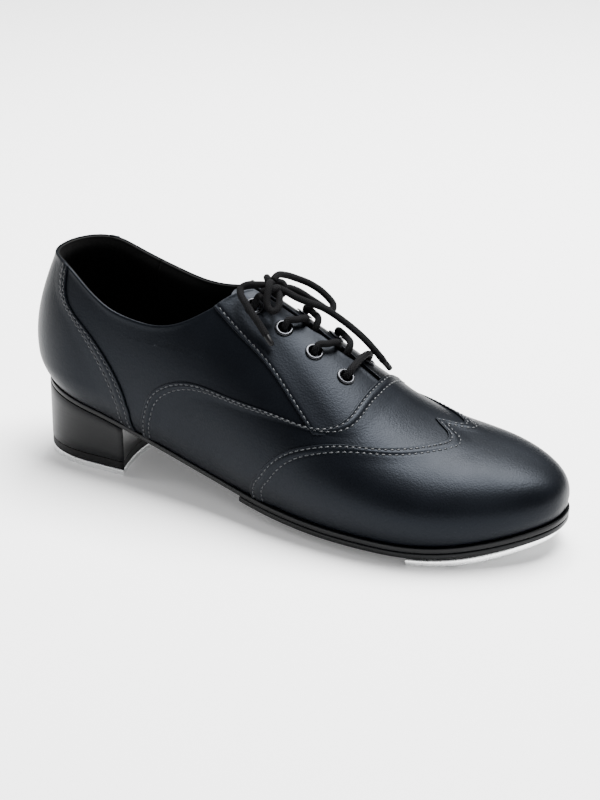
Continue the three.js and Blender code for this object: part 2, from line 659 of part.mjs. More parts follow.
// A small notch in the tap's rim, just in front of its outer back corner.
const notchAlong = toeTapStart + 5.5;
const notchWidth = 2.6;
const notchDepth = 3;
const notchRim = lastPoint(notchAlong, 0).y - soleEdge;
const tapNotch = prism([[notchAlong, notchRim - 5], [notchAlong + notchWidth, notchRim - 5],
  [notchAlong + notchWidth, notchRim + notchDepth], [notchAlong, notchRim + notchDepth]]
  .map((p) => new THREE.Vector2(...p)));
const tapRegion = [new THREE.Vector2(L + 20, -90), new THREE.Vector2(L + 20, 90), new THREE.Vector2(toeTapStart, 90),
  ...tapBackEdge, new THREE.Vector2(toeTapStart, -90)];
add('toe_tap', cutAll(plate(toeTapTop, toeTapBottom, planOutline((x) => blendEdge(x) - 0.5))
  .intersect(prism(tapRegion)).subtract(tapNotch), toeHoles), 0xd8d8d6, 0.25, 1);

const innerPlan = planOutline(insoleEdge);
add('insole_board', toGeometry(plate(insoleTop, insoleBottom, innerPlan)), 0x9c8463, 0.95);
add('sock_liner', toGeometry(plate(sockTop, sockBottom, planOutline((x) => insoleEdge(x) - 0.4))), 0x2a2a2c, 0.85);
const shankFrom = 42;
const shankTo = 122;
const shankPlan = [[shankFrom, -shankWidth / 2], [shankTo, -shankWidth / 2 + 2.5], [shankTo, shankWidth / 2 + 2.5],
  [shankFrom, shankWidth / 2]].map((p) => new THREE.Vector2(...p));
add('shank', toGeometry(plate(sink(featherAt, shankThick), featherAt, shankPlan)), 0x8a8f94, 0.35, 1);
add('forefoot_filler', toGeometry(plate(fillerTop, featherAt, planOutline((x) => insoleEdge(x) - 3),
  shankTo + 8, L - 12)), 0x6d5136, 0.95);

// The heel in plan: the feather line round the back, moved outwards, and a hollow front. It runs from the
// outer front corner to the inner one, and down is 0 at the heel's top and 1 at the floor.
function heelRing(edge, frontX, down, z) {
  const ring = planOutline(() => edge, 44);
  const count = ring.length;
  const corner = (a, b) => new THREE.Vector2(frontX, lerp(a.y, b.y, (frontX - a.x) / (b.x - a.x)));
  let k = 0;
  while (ring[k + 1].x < frontX) k++;
  let m = count - 1;
  while (ring[m - 1].x < frontX) m--;
  const around = [corner(ring[k], ring[k + 1])];
  for (let i = k; i >= 0; i--) around.push(ring[i]);
  for (let i = count - 1; i >= m; i--) around.push(ring[i]);
  around.push(corner(ring[m], ring[m - 1]));
  const frontSteps = 8;
  const [outer, inner] = [around[0].y, around[around.length - 1].y];
  for (let i = 1; i < frontSteps; i++) {
    const across = 1 - (2 * i) / frontSteps;
    around.push(new THREE.Vector2(frontX - heelHollow * (1 - across ** 2), lerp(outer, inner, (1 + across) / 2)));
  }
  const back = ring[0].x;
  const half = (inner - outer) / 2;
  return around.map((p) => {
    const behind = (frontX - p.x) / (frontX - back);
    return new THREE.Vector3(p.x + heelBackTaper * down * behind, p.y * (1 - (heelSideTaper * down) / half), z);
  });
}
function heelLoft(lower, upper) {
  const count = lower.length;
  const faces = [];
  for (let i = 0; i < count; i++) faces.push([i, (i + 1) % count, count + ((i + 1) % count), count + i]);
  const flat = lower.map((p) => new THREE.Vector2(p.x, p.y));
  for (const [a, b, c] of THREE.ShapeUtils.triangulateShape(flat, [])) {
    faces.push([a, b, c], [count + c, count + b, count + a]);
  }
  return welded([...lower, ...upper], faces);
}
const heelTopZ = soleBottom(0) + 5;
const liftBottom = heelTapThick + clearance;
const blockBottom = liftBottom + topLiftThick + clearance;
const heelSection = (z, inset) => heelRing(heelEdge - inset, heelFront - inset, 1 - z / heelTopZ, z);
const underSole = slab((x) => soleBottom(x) - clearance, () => -5);
add('heel_block', cutAll(toSolid(heelLoft(heelSection(blockBottom, 0), heelSection(heelTopZ, 0)))
  .intersect(underSole), [...heelHoles, nailHole]), 0x202226, 0.5);
add('top_lift', cutAll(toSolid(heelLoft(heelSection(liftBottom, 0.1), heelSection(liftBottom + topLiftThick, 0.1))),
  heelHoles), 0x1c1c1e, 0.7);
add('heel_tap', cutAll(toSolid(heelLoft(heelSection(0, 0.6), heelSection(heelTapThick, 0.6))), heelHoles),
  0xd8d8d6, 0.25, 1);
toeScrews.forEach((place, i) => add(`toe_tap_screw_${i + 1}`, screw(place, toeScrewLength), 0xb8b9ba, 0.3, 1));
heelScrews.forEach((place, i) => add(`heel_tap_screw_${i + 1}`, screw(place, heelScrewLength), 0xb8b9ba, 0.3, 1));
const nailHead = 1.0;
add('heel_nail', turned([[0, -heelNailLength], [heelNailRadius, -heelNailLength + 2], [heelNailRadius, clearance],
  [2 * heelNailRadius, clearance], [2 * heelNailRadius, clearance + nailHead], [0, clearance + nailHead]],
14, nailPlace.point, nailPlace.direction), 0x8a8f94, 0.4, 1);

// ---- lace ---------------------------------------------------------------------------------------------
const laceRadius = laceDiameter / 2;
function tube(points, steps, diameter = laceDiameter) {
  const sides = 8;
  const ring = Array.from({ length: sides }, (_, i) => {
    const angle = (2 * Math.PI * i) / sides;
    return new THREE.Vector2(Math.cos(angle), Math.sin(angle)).multiplyScalar(diameter / 2);
  });
  const curve = new THREE.CatmullRomCurve3(points, false, 'centripetal');
  const geometry = new THREE.ExtrudeGeometry(new THREE.Shape(ring), { steps, extrudePath: curve, bevelEnabled: false });
  return toGeometry(toSolid(geometry));
}

// The laced part: a bar over the last row, then crossings from row to row, each up through the slit from
// under one flap, and over the other flap's edge down into its next eyelet.
const overFlap = clearance + eyeletFlange + 0.3 + laceRadius;
const underFlap = -flapDepth - 1.4 * clearance - laceRadius;
const holeAt = slitHalf + eyeletSetback;
const throughHole = (row, side, upwards) => {
  const steps = [[underFlap, 0], [underFlap * 0.45, 0], [overFlap * 0.6, 0.5], [overFlap + 0.5, 2.2]];
  if (!upwards) steps.reverse();
  return steps.map(([h, lean]) => flapPoint(flapRows[row], side * (holeAt - lean), h));
};
const diveAhead = 4.6;           // the two strands of a row pass the slit this far apart, along x
const knotAlong = 128;
const knotAside = -3;
const knotLift = 8;
function crossing(row, side) {
  const to = flapRows[row];
  const from = flapRows[row + 1];
  const rise = (from + to) / 2 + (side * diveAhead) / 2;
  return [
    flapPoint(lerp(rise, from, 0.7), -side * 0.75 * holeAt, underFlap),
    flapPoint(lerp(rise, from, 0.2), -side * 0.3 * holeAt, underFlap - 0.5),
    flapPoint(rise, -0.3, -flapDepth - 0.2),
    flapPoint(rise, side * 0.15 - 0.2, 0.6),
    flapPoint(lerp(to, rise, 0.85), side * 0.26 * holeAt, overFlap + 1.3),
    flapPoint(lerp(to, rise, 0.45), side * 0.62 * holeAt, overFlap + 0.8),
    ...throughHole(row, side, false),
  ];
}
function lacedSide(side) {
  const last = eyeletRows - 1;
  return [
    flapPoint(flapRows[last], 0, overFlap + 1.2),
    flapPoint(flapRows[last], side * 0.6 * holeAt, overFlap + 1.0),
    ...throughHole(last, side, false),
    ...crossing(last - 1, -side),
    ...crossing(last - 2, side),
    flapPoint(firstEyelet + eyeletPitch / 2, side * holeAt, underFlap),
    ...throughHole(0, side, true),
  ];
}

const knotCentre = flapPoint(knotAlong, knotAside, knotLift);
const knotReach = new THREE.Vector3(5, 5, 4.2);
function tieEnd(side) {
  return [flapPoint(firstEyelet + 0.5, side * 0.75 * holeAt, overFlap + 2.2),
    flapPoint(knotAlong, knotAside + side * (knotReach.y + 1.2), knotLift - 1.2)];
}
const lacingRoute = [...tieEnd(-1).reverse(), ...lacedSide(-1).reverse().slice(0, -1), ...lacedSide(1), ...tieEnd(1)];
add('lacing', tube(lacingRoute, 150), 0x151517, 0.9);
const knot = new THREE.SphereGeometry(1, 12, 8);
knot.scale(knotReach.x, knotReach.y, knotReach.z).rotateY(0.42).translate(knotCentre.x, knotCentre.y, knotCentre.z);
add('lace_knot', toGeometry(toSolid(knot)), 0x151517, 0.9);

// The loose loops and ends of the bow, where they lie. Each list is the middle of the cord, end to end.
const points = (list) => list.map((p) => new THREE.Vector3(...p));
const loopLateral = points([[131.6, -8.7, 111.0], [132.4, -11.4, 109.4], [132.6, -13.8, 105.8], [133.2, -15.8, 101.8],
  [135.2, -17.0, 98.2], [138.0, -16.8, 96.6], [139.8, -14.6, 97.6], [139.4, -11.4, 100.4], [137.4, -7.6, 103.6]]);
const loopMedial = points([[131.5, 1.0, 110.6], [133.6, 6.0, 109.2], [136.4, 10.6, 106.6], [140.8, 14.6, 103.6],
  [145.7, 16.6, 100.4], [150.1, 17.2, 96.9], [153.4, 15.8, 93.4], [153.0, 12.6, 92.6], [149.6, 10.0, 95.4],
  [145.0, 7.6, 99.0], [140.6, 5.0, 102.6], [137.2, 1.6, 105.0]]);
const endLateral = points([[126.9, -7.4, 107.9], [125.0, -9.2, 108.2], [122.0, -11.4, 108.4],
  [119.6, -14.4, 107.6], [121.2, -17.2, 105.6], [125.6, -19.4, 101.8], [129.8, -20.8, 97.8], [134.0, -21.6, 93.6], [137.6, -22.4, 89.6], [139.2, -22.9, 87.9]]);
const endMedial = points([[137.1, -2.8, 104.9], [142.7, -1.1, 101.9], [147.8, 2.5, 98.9], [151.8, 6.4, 96.2],
  [155.9, 8.8, 93.3], [161.2, 9.6, 90.2], [167.4, 9.2, 87.0], [173.9, 8.4, 83.2], [179.1, 8.2, 78.9],
  [182.1, 9.5, 74.8], [183.0, 10.2, 73.2]]);
const loose = { lace_loop_lateral: loopLateral, lace_loop_medial: loopMedial, lace_end_lateral: endLateral,
  lace_end_medial: endMedial };
for (const [name, list] of Object.entries(loose)) add(name, tube(list, 2 * list.length), 0x151517, 0.9);

// The stiff tips on the lace's two ends.
const aglets = {
  lace_tip_lateral: [endLateral, [142.2, -23.9, 85.0]],
  lace_tip_medial: [endMedial, [185.2, 11.7, 69.8]],
};
for (const [name, [list, tip]] of Object.entries(aglets)) {
  const end = list[list.length - 1];
  const along = new THREE.Vector3(...tip).sub(end);
  const reach = along.length() + laceRadius;
  const radius = laceRadius - 0.35;
  add(name, turned([[0, clearance], [radius, clearance], [radius, reach - 0.5], [radius - 0.5, reach], [0, reach]], 10,
    end, along.normalize()), 0x101012, 0.4);
}

// The group's own origin is under the middle of the shoe, on the floor. The loose lace doesn't count.
const whole = new THREE.Box3();
for (const mesh of group.children) {
  if (!mesh.name.startsWith('lace_')) whole.expandByObject(mesh);
}
const middle = whole.getCenter(new THREE.Vector3());
group.position.set(-middle.x, -middle.y, -whole.min.z);

export default group;
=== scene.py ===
"""A right tap shoe: smooth black leather oxford upper, laced with a round cord, on a stacked heel, with
bright aluminium taps screwed under the heel and the toe. Sizes are in millimetres, as a shoemaker gives
them, and MM turns them to metres. x runs from the heel back (0) to the toe (L), y grows towards the inner
side of the foot, and z is up from the floor."""
import math

import bmesh
import bpy
import numpy as np
from mathutils import Matrix, Vector


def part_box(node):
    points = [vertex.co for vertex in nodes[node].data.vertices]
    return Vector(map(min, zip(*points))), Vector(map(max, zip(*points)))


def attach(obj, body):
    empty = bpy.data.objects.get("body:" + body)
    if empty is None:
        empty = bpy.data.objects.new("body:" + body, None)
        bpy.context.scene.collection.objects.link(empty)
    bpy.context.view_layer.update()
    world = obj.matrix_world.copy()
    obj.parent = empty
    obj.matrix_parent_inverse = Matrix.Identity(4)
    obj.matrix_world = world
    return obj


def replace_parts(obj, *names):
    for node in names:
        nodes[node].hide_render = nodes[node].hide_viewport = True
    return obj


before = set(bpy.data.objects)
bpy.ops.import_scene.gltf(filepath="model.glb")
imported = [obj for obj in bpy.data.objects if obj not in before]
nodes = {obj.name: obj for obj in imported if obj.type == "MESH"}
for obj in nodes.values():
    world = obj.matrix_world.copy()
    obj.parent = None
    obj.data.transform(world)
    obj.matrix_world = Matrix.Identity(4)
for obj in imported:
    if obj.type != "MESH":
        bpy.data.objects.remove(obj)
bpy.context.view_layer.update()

MM = 0.001
L = 280.0
# Where the last's own origin, the heel back on the floor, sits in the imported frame.
heel_tap_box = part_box("heel_tap")
SHIFT = np.array([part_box("toe_cap")[1].x / MM - L, (heel_tap_box[0].y + heel_tap_box[1].y) / 2 / MM, 0.0])


def placed(points):
    """Points on the last, in mm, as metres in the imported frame."""
    return (np.asarray(points, float) + SHIFT) * MM


# ---- camera ------------------------------------------------------------------------------------------
def look(name, eye, target, long_side_angle):
    data = bpy.data.cameras.new(name)
    data.sensor_width = 36
    data.lens = 18 / math.tan(long_side_angle / 2)
    camera = bpy.data.objects.new(name, data)
    bpy.context.scene.collection.objects.link(camera)
    camera.location = placed(eye)
    camera.rotation_euler = Vector(placed(target) - placed(eye)).to_track_quat("-Z", "Y").to_euler()
    return camera


EYE = (502.6, -693.5, 412.7)
AIM = (143.73, 0.0, 48.40)
bpy.context.scene.camera = look("studio_camera", EYE, AIM, 2 * math.atan(400 / 1776.16))

# ---- shape of the last ---------------------------------------------------------------------------------
# Each curve is over the share of the length from heel to toe.
LATERAL_WIDTH = [(0, 32.5), (.13, 31.5), (.4, 38), (.64, 53), (.82, 52), (1, 35)]
MEDIAL_WIDTH = [(0, 32.5), (.13, 32.5), (.4, 32.5), (.64, 43), (.74, 40), (.86, 37.5), (1, 33)]
RIDGE_SIDE = [(0, 0), (.45, 0), (.62, 3), (.78, 5.5), (1, 3.5)]
SOLE_RISE = [(0, 34), (.2, 20.5), (.42, 6.2), (.62, .5), (.72, 0), (.86, 1.2), (1, 8.8)]
WALL_HEIGHT = [(0, 12), (.3, 15), (.6, 15), (.85, 11), (1, 5)]
TUCK_IN = [(0, 3), (.3, 3.8), (.6, 3.6), (.85, 2.6), (1, 1)]
RIDGE_HEIGHT = [(0, 140), (.2, 133), (.34, 115), (.42, 104.5), (.6, 77.5), (.75, 52.5), (.88, 46), (1, 44)]
LATERAL_POWER = [(0, 2), (.3, 2), (.5, 1.9), (.7, 2.1), (.85, 2.3), (1, 2.3)]
MEDIAL_POWER = [(0, 2), (.3, 2), (.42, 1.75), (.52, 1.6), (.66, 1.6), (.76, 1.9), (.88, 2.4), (1, 2.4)]
BACK_LINE = [(0, 1.6), (14, -1), (41, 2.3), (62, 10)]      # over height above the feather line
WIDE = .22                                                 # level of the widest line

SOLE_STACK = 3.6 + 3.0 + 2.6 + 3 * .3                      # toe tap, half sole and outsole with their gaps
LEATHER = 1.0
STEP = 1.0                                                 # how far a lapped edge stands up


def natural_spline(knots):
    """Natural cubic through (x, y) knots."""
    x = np.array([k[0] for k in knots], float)
    y = np.array([k[1] for k in knots], float)
    count, gap = len(x), np.diff(x)
    system, load = np.eye(count), np.zeros(count)
    for i in range(1, count - 1):
        system[i, i - 1:i + 2] = gap[i - 1], 2 * (gap[i - 1] + gap[i]), gap[i]
        load[i] = 6 * ((y[i + 1] - y[i]) / gap[i] - (y[i] - y[i - 1]) / gap[i - 1])
    bend = np.linalg.solve(system, load)

    def at(q):
        q = np.asarray(q, float)
        i = np.clip(np.searchsorted(x, q) - 1, 0, count - 2)
        a, b, d = x[i + 1] - q, q - x[i], gap[i]
        return ((bend[i] * a ** 3 + bend[i + 1] * b ** 3) / (6 * d)
                + (y[i] / d - bend[i] * d / 6) * a + (y[i + 1] / d - bend[i + 1] * d / 6) * b)
    return at


(lateral_at, medial_at, ridge_side_at, rise_at, wall_at, tuck_at, ridge_at, lateral_power_at, medial_power_at,
 back_at) = map(natural_spline, (LATERAL_WIDTH, MEDIAL_WIDTH, RIDGE_SIDE, SOLE_RISE, WALL_HEIGHT, TUCK_IN,
                                 RIDGE_HEIGHT, LATERAL_POWER, MEDIAL_POWER, BACK_LINE))


def smooth(t):
    t = np.clip(t, 0, 1)
    return t * t * (3 - 2 * t)


def lerp(a, b, t):
    return a + (b - a) * t


def nose(t, power):
    return np.maximum(1 - np.clip(t, 0, 1) ** power, 0) ** (1 / power)


def feather(x):
    """Height of the line where the upper meets the sole."""
    return SOLE_STACK + rise_at(x / L)


def half_width(x, lateral):
    s = x / L
    return np.where(lateral, lateral_at(s), medial_at(s)) * nose((.14 - s) / .14, 2.3) * nose((s - .74) / .26, 2.3)


def last_point(x, level):
    """The outer leather surface. level runs 0 at the outer feather line, 1 on the ridge, 2 at the inner one."""
    x, level = np.broadcast_arrays(np.asarray(x, float), np.asarray(level, float))
    s = x / L
    lateral = level < 1
    v = np.where(lateral, level, 2 - level)
    side = np.where(lateral, -1.0, 1.0)
    wide = half_width(x, lateral)
    low = feather(x)
    middle = low + wall_at(s)
    top = middle + (ridge_at(s) - middle) * nose((s - .74) / .26, 3)
    up = v / WIDE
    xa, xb = np.clip(x - .3, .001, L - .002), np.clip(x + .3, .002, L - .001)
    slope = (half_width(xb, lateral) - half_width(xa, lateral)) / (xb - xa)
    at_end = (x < .01) | (x > L - .01)
    tuck = tuck_at(s) * (1 - np.minimum(up, 1)) ** 2
    reach = np.hypot(1, slope)
    angle = np.clip((v - WIDE) / (1 - WIDE), 0, 1) * math.pi / 2
    power = 2 / np.where(lateral, lateral_power_at(s), medial_power_at(s))
    below = v < WIDE
    py = ridge_side_at(s) + side * np.where(below, wide - np.where(at_end, 0, tuck / reach),
                                            wide * np.maximum(np.cos(angle), 0) ** power)
    pz = np.where(below, lerp(low, middle, up), middle + (top - middle) * np.sin(angle) ** power)
    px = x + np.where(below, tuck * np.where(at_end, np.sign(L / 2 - x), slope / reach), 0)
    px = px + back_at(np.clip(pz - low, 0, 100)) * smooth(1 - s / .3)
    return np.stack([px, py, pz], -1)


def skin_normal(x, level):
    x, level = np.broadcast_arrays(np.asarray(x, float), np.asarray(level, float))
    xm, vm = np.clip(x, .9, L - .9), np.clip(level, .006, 1.994)
    along = last_point(xm + .4, vm) - last_point(xm - .4, vm)
    around = last_point(xm, vm + .006) - last_point(xm, vm - .006)
    normal = np.cross(along, around)
    normal /= np.linalg.norm(normal, axis=-1, keepdims=True)
    at_tip = x > L - .05
    normal[..., 1] = np.where((x < .05) | at_tip, 0, normal[..., 1])
    normal[..., 2] = np.where(at_tip, 0, normal[..., 2])
    return normal / np.linalg.norm(normal, axis=-1, keepdims=True)


def skin(x, level, h):
    """A point at height h over the outer leather surface, square to it."""
    return last_point(x, level) + skin_normal(x, level) * np.asarray(h, float)[..., None]


def level_from_ridge(x, distance):
    rate = np.linalg.norm(last_point(x, 1.0) - last_point(x, .95), axis=-1) / .05
    return 1 + distance / rate


def level_at_height(x, z):
    x = np.asarray(x, float)
    low, high = np.full(x.shape, WIDE), np.ones(x.shape)
    for _ in range(30):
        middle = (low + high) / 2
        under = last_point(x, middle)[..., 2] < z
        low, high = np.where(under, middle, low), np.where(under, high, middle)
    return (low + high) / 2


# ---- seam lines, as x and level on the outer side -----------------------------------------------------
def seam(*knots):
    """A line through (share of length, level) knots, run at an even pace."""
    knots = [(a * L, v) for a, v in knots]
    pace = np.concatenate([[0], np.cumsum([math.hypot(b[0] - a[0], (b[1] - a[1]) * 120)
                                           for a, b in zip(knots, knots[1:])])])
    pace /= pace[-1]
    along = natural_spline([(p, k[0]) for p, k in zip(pace, knots)])
    level = natural_spline([(p, k[1]) for p, k in zip(pace, knots)])
    return lambda t: (along(t), level(t))


def chain(*links):
    """Lines joined end to end, each taking the share of t up to the number given with it."""
    def line(t):
        t = np.asarray(t, float)
        x, v = np.zeros(t.shape), np.zeros(t.shape)
        start = 0
        for i, (link, end) in enumerate(links):
            px, pv = link((t - start) / (end - start))
            here = t >= start if i else np.ones(t.shape, bool)
            x, v = np.where(here, px, x), np.where(here, pv, v)
            start = end
        return x, v
    return line


def part(line, a, b):
    return lambda t: line(lerp(a, b, np.asarray(t, float)))


def straight(a, b):
    return lambda t: (lerp(a[0], b[0], np.asarray(t, float)), lerp(a[1], b[1], np.asarray(t, float)))


def share_at_level(line, level):
    low, high = 0.0, 1.0
    for _ in range(30):
        middle = (low + high) / 2
        low, high = (middle, high) if line(middle)[1] < level else (low, middle)
    return (low + high) / 2


FOXING_TOP, COLLAR_FRONT, FLAP_TOP, THROAT, GRIP_FRONT = .065 * L, .385 * L, .43 * L, .66 * L, .17 * L
collar_height = natural_spline([(0, 107.5), (.03 * L, 107.5), (.065 * L, 105.5), (.1 * L, 101.5), (.18 * L, 90.5),
                                (.24 * L, 86.8), (.29 * L, 86.2), (.335 * L, 89.5), (COLLAR_FRONT, 97.5)])
inner_collar_height = natural_spline([(0, 107.5), (.03 * L, 107.5), (.065 * L, 105.5), (.1 * L, 101.5),
                                      (.18 * L, 95.5), (.24 * L, 92.8), (.29 * L, 91.8), (.335 * L, 93.4),
                                      (COLLAR_FRONT, 97.5)])


def collar(x, side=-1):
    """Level of the topline. side is -1 for the outer side and 1 for the inner one."""
    return level_at_height(x, (collar_height if side < 0 else inner_collar_height)(x))


def collar_line(a, b, side=-1):
    def line(t):
        x = lerp(a, b, np.asarray(t, float))
        return x, collar(x, side)
    return line


ROWS = [125 + 16.3 * i for i in range(4)]                  # eyelet rows, along x
DIVES = [(ROWS[i] + ROWS[i + 1]) / 2 for i in (1, 2)]      # where the strands come up through the slit


def slit_half(x):
    """Half the gap between the lacing flaps: nearly closed, and spread where the strands pass."""
    spread = sum(np.exp(-((np.asarray(x, float) - d) / 4.6) ** 4) for d in DIVES)
    return .7 + 1.15 * spread + .5 * smooth((FLAP_TOP + 6 - x) / 10)


SLIT_SIDE = 1.5                                            # how far the slit lies to the outer side of the ridge


def slit_line(a, b, set_back=0, side=-1):
    """One edge of the slit: side is -1 for the outer flap's and 1 for the inner flap's, both as outer levels."""
    def line(t):
        x = lerp(a, b, np.asarray(t, float))
        return x, level_from_ridge(x, side * SLIT_SIDE - slit_half(x) - set_back)
    return line


vamp_back = seam((.257, 0), (.264, .15), (.277, .27), (.31, .345), (.36, .405), (.45, .45), (.54, .495), (.6, .53),
                 (.632, .585), (.65, .66), (.657, .8), (.66, 1))
wing_edge = seam((.493, 0), (.5, .13), (.523, .255), (.56, .365), (.605, .45), (.655, .54), (.715, .645),
                 (.764, .765), (.79, .85), (.799, .905), (.793, .945), (.777, .972), (.757, 1))
FLAP_FOOT = .675                                           # share of the vamp's back line where the flap starts
flap_back = seam(tuple(np.array(vamp_back(FLAP_FOOT)) / (L, 1)), (.546, .6), (.494, .655), (.442, .685),
                 (COLLAR_FRONT / L, float(collar(COLLAR_FRONT))))
foxing_front = seam((.24, 0), (.238, .1), (.232, .23), (.212, .29), (.182, .34), (.135, .392), (.085, .455),
                    (FOXING_TOP / L, float(collar(FOXING_TOP))))
lining_join = seam((.56, 0), (.61, .5), (.66, 1))


def grip_edge(side=-1):
    return seam((GRIP_FRONT / L, 0), (GRIP_FRONT / L, .3), (GRIP_FRONT / L, float(collar(GRIP_FRONT, side))))


# ---- maps from a piece's own q and t, 0 to 1, to x and level --------------------------------------------
def patch(left, right, bottom, top):
    """A four-sided cut. left and right run bottom to top, bottom and top run left to right."""
    def bend(line, a, b, q, i):
        return line(q)[i] - lerp(a[i], b[i], q)

    def at(q, t):
        ends = [left(0.0), right(0.0), left(1.0), right(1.0)]
        return tuple(lerp(left(t)[i], right(t)[i], q)
                     + lerp(bend(bottom, ends[0], ends[1], q, i), bend(top, ends[2], ends[3], q, i), smooth(t))
                     for i in (0, 1))
    return at


def across_ridge(line):
    def over(t):
        t = np.asarray(t, float)
        x, v = line(np.where(t < .5, 2 * t, 2 - 2 * t))
        return x, np.where(t < .5, v, 2 - v)
    return over


def across_patch(back, front):
    a = across_ridge(lambda t: back(t + .45 * t * (1 - t)))
    b = across_ridge(front)

    def at(q, t):
        (xa, va), (xb, vb) = a(t), b(t)
        return lerp(xa, xb, q), lerp(va, vb, q)
    return at


def toe_patch(back):
    a = across_ridge(back)

    def at(q, t):
        x, v = a(t)
        return L - (L - x) * np.maximum(1 - q, 0) ** 1.7, lerp(v, 2 * t, q)
    return at


def heel_patch(front, top_at):
    def at(q, t):
        a = 2 * q - 1
        xe, ve = front(t)
        x = xe * a * a
        share = ve / top_at(xe)
        v = np.where(a < 0, top_at(x), top_at(x, 1)) * lerp(t, share, a * a)
        return x, np.where(a < 0, v, 2 - v)
    return at


def mirrored(cut):
    def at(q, t):
        x, v = cut(q, t)
        return x, 2 - v
    return at


def beyond(cut):
    """The same map, run straight on past its edges, and held just below the feather line."""
    d = .01

    def at(q, t):
        q, t = np.broadcast_arrays(np.asarray(q, float), np.asarray(t, float))
        qc, tc = np.clip(q, 0, 1), np.clip(t, 0, 1)
        near = [cut(qc, tc), cut(np.clip(qc, d, 1), tc), cut(np.clip(qc, 0, 1 - d), tc),
                cut(qc, np.clip(tc, d, 1)), cut(qc, np.clip(tc, 0, 1 - d))]
        out = []
        for i in (0, 1):
            o, ql, qr, tl, tr = (n[i] for n in near)
            out.append(o + np.minimum(q, 0) * (ql - o) / d + np.maximum(q - 1, 0) * (o - qr) / d
                       + np.minimum(t, 0) * (tl - o) / d + np.maximum(t - 1, 0) * (o - tr) / d)
        return out[0], np.clip(out[1], -.012, 2.012)
    return at


# ---- making mesh ---------------------------------------------------------------------------------------
def make_piece(name, points, faces, finish, body="shoe", weld=0.0, flat=False, uv=None):
    """A closed mesh from points on the last, in mm, that rides on a body."""
    mesh = bpy.data.meshes.new(name)
    mesh.from_pydata(placed(points).tolist(), [], [list(map(int, f)) for f in faces])
    if uv is not None:
        layer = mesh.uv_layers.new(name="along")
        corner = np.zeros(len(mesh.loops), int)
        mesh.loops.foreach_get("vertex_index", corner)
        layer.data.foreach_set("uv", uv(corner, mesh).astype(np.float32).ravel())
    shape = bmesh.new()
    shape.from_mesh(mesh)
    if weld:
        bmesh.ops.remove_doubles(shape, verts=shape.verts, dist=weld * MM)
    bmesh.ops.recalc_face_normals(shape, faces=shape.faces)
    shape.to_mesh(mesh)
    shape.free()
    if not flat:
        mesh.polygons.foreach_set("use_smooth", [True] * len(mesh.polygons))
    mesh.update()
    piece = bpy.data.objects.new(name, mesh)
    bpy.context.scene.collection.objects.link(piece)
    mesh.materials.append(finish)
    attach(piece, body)
    return piece


def drill(piece, tools):
    """Cuts closed tool pieces out of a piece and removes the tools."""
    for tool in tools:
        cut = piece.modifiers.new("cut", "BOOLEAN")
        cut.operation, cut.solver, cut.object = "DIFFERENCE", "EXACT", tool
    shaped = bpy.data.meshes.new_from_object(piece.evaluated_get(bpy.context.evaluated_depsgraph_get()))
    piece.modifiers.clear()
    piece.data = shaped
    for tool in tools:
        bpy.data.objects.remove(tool)
    return piece


# Distances in from an edge, in mm, at which a piece has a row of points.
RIM = {"over": [0, .1, .25, .5, 1, 1.5, 2, 2.5, 3.1, 3.7, 4.3, 5, 6.5, 9, 12],
       "fold": [0, .1, .25, .5, 1, 1.5, 2, 2.5, 3.2, 4.5, 7],
       "under": [0, 2, 4, 5.5, 8],
       "feather": [0, 1.5, 4],
       "butt": [0, 1.5, 4],
       "edge": [0, .15, .4, 1, 2.5, 4.5, 7, 10]}
# How far a piece runs on past each kind of edge.
REACH = {"over": 0, "fold": 0, "under": 4.5, "feather": .6, "butt": -.15, "edge": -.3}
EDGES = ("left", "right", "bottom", "top")


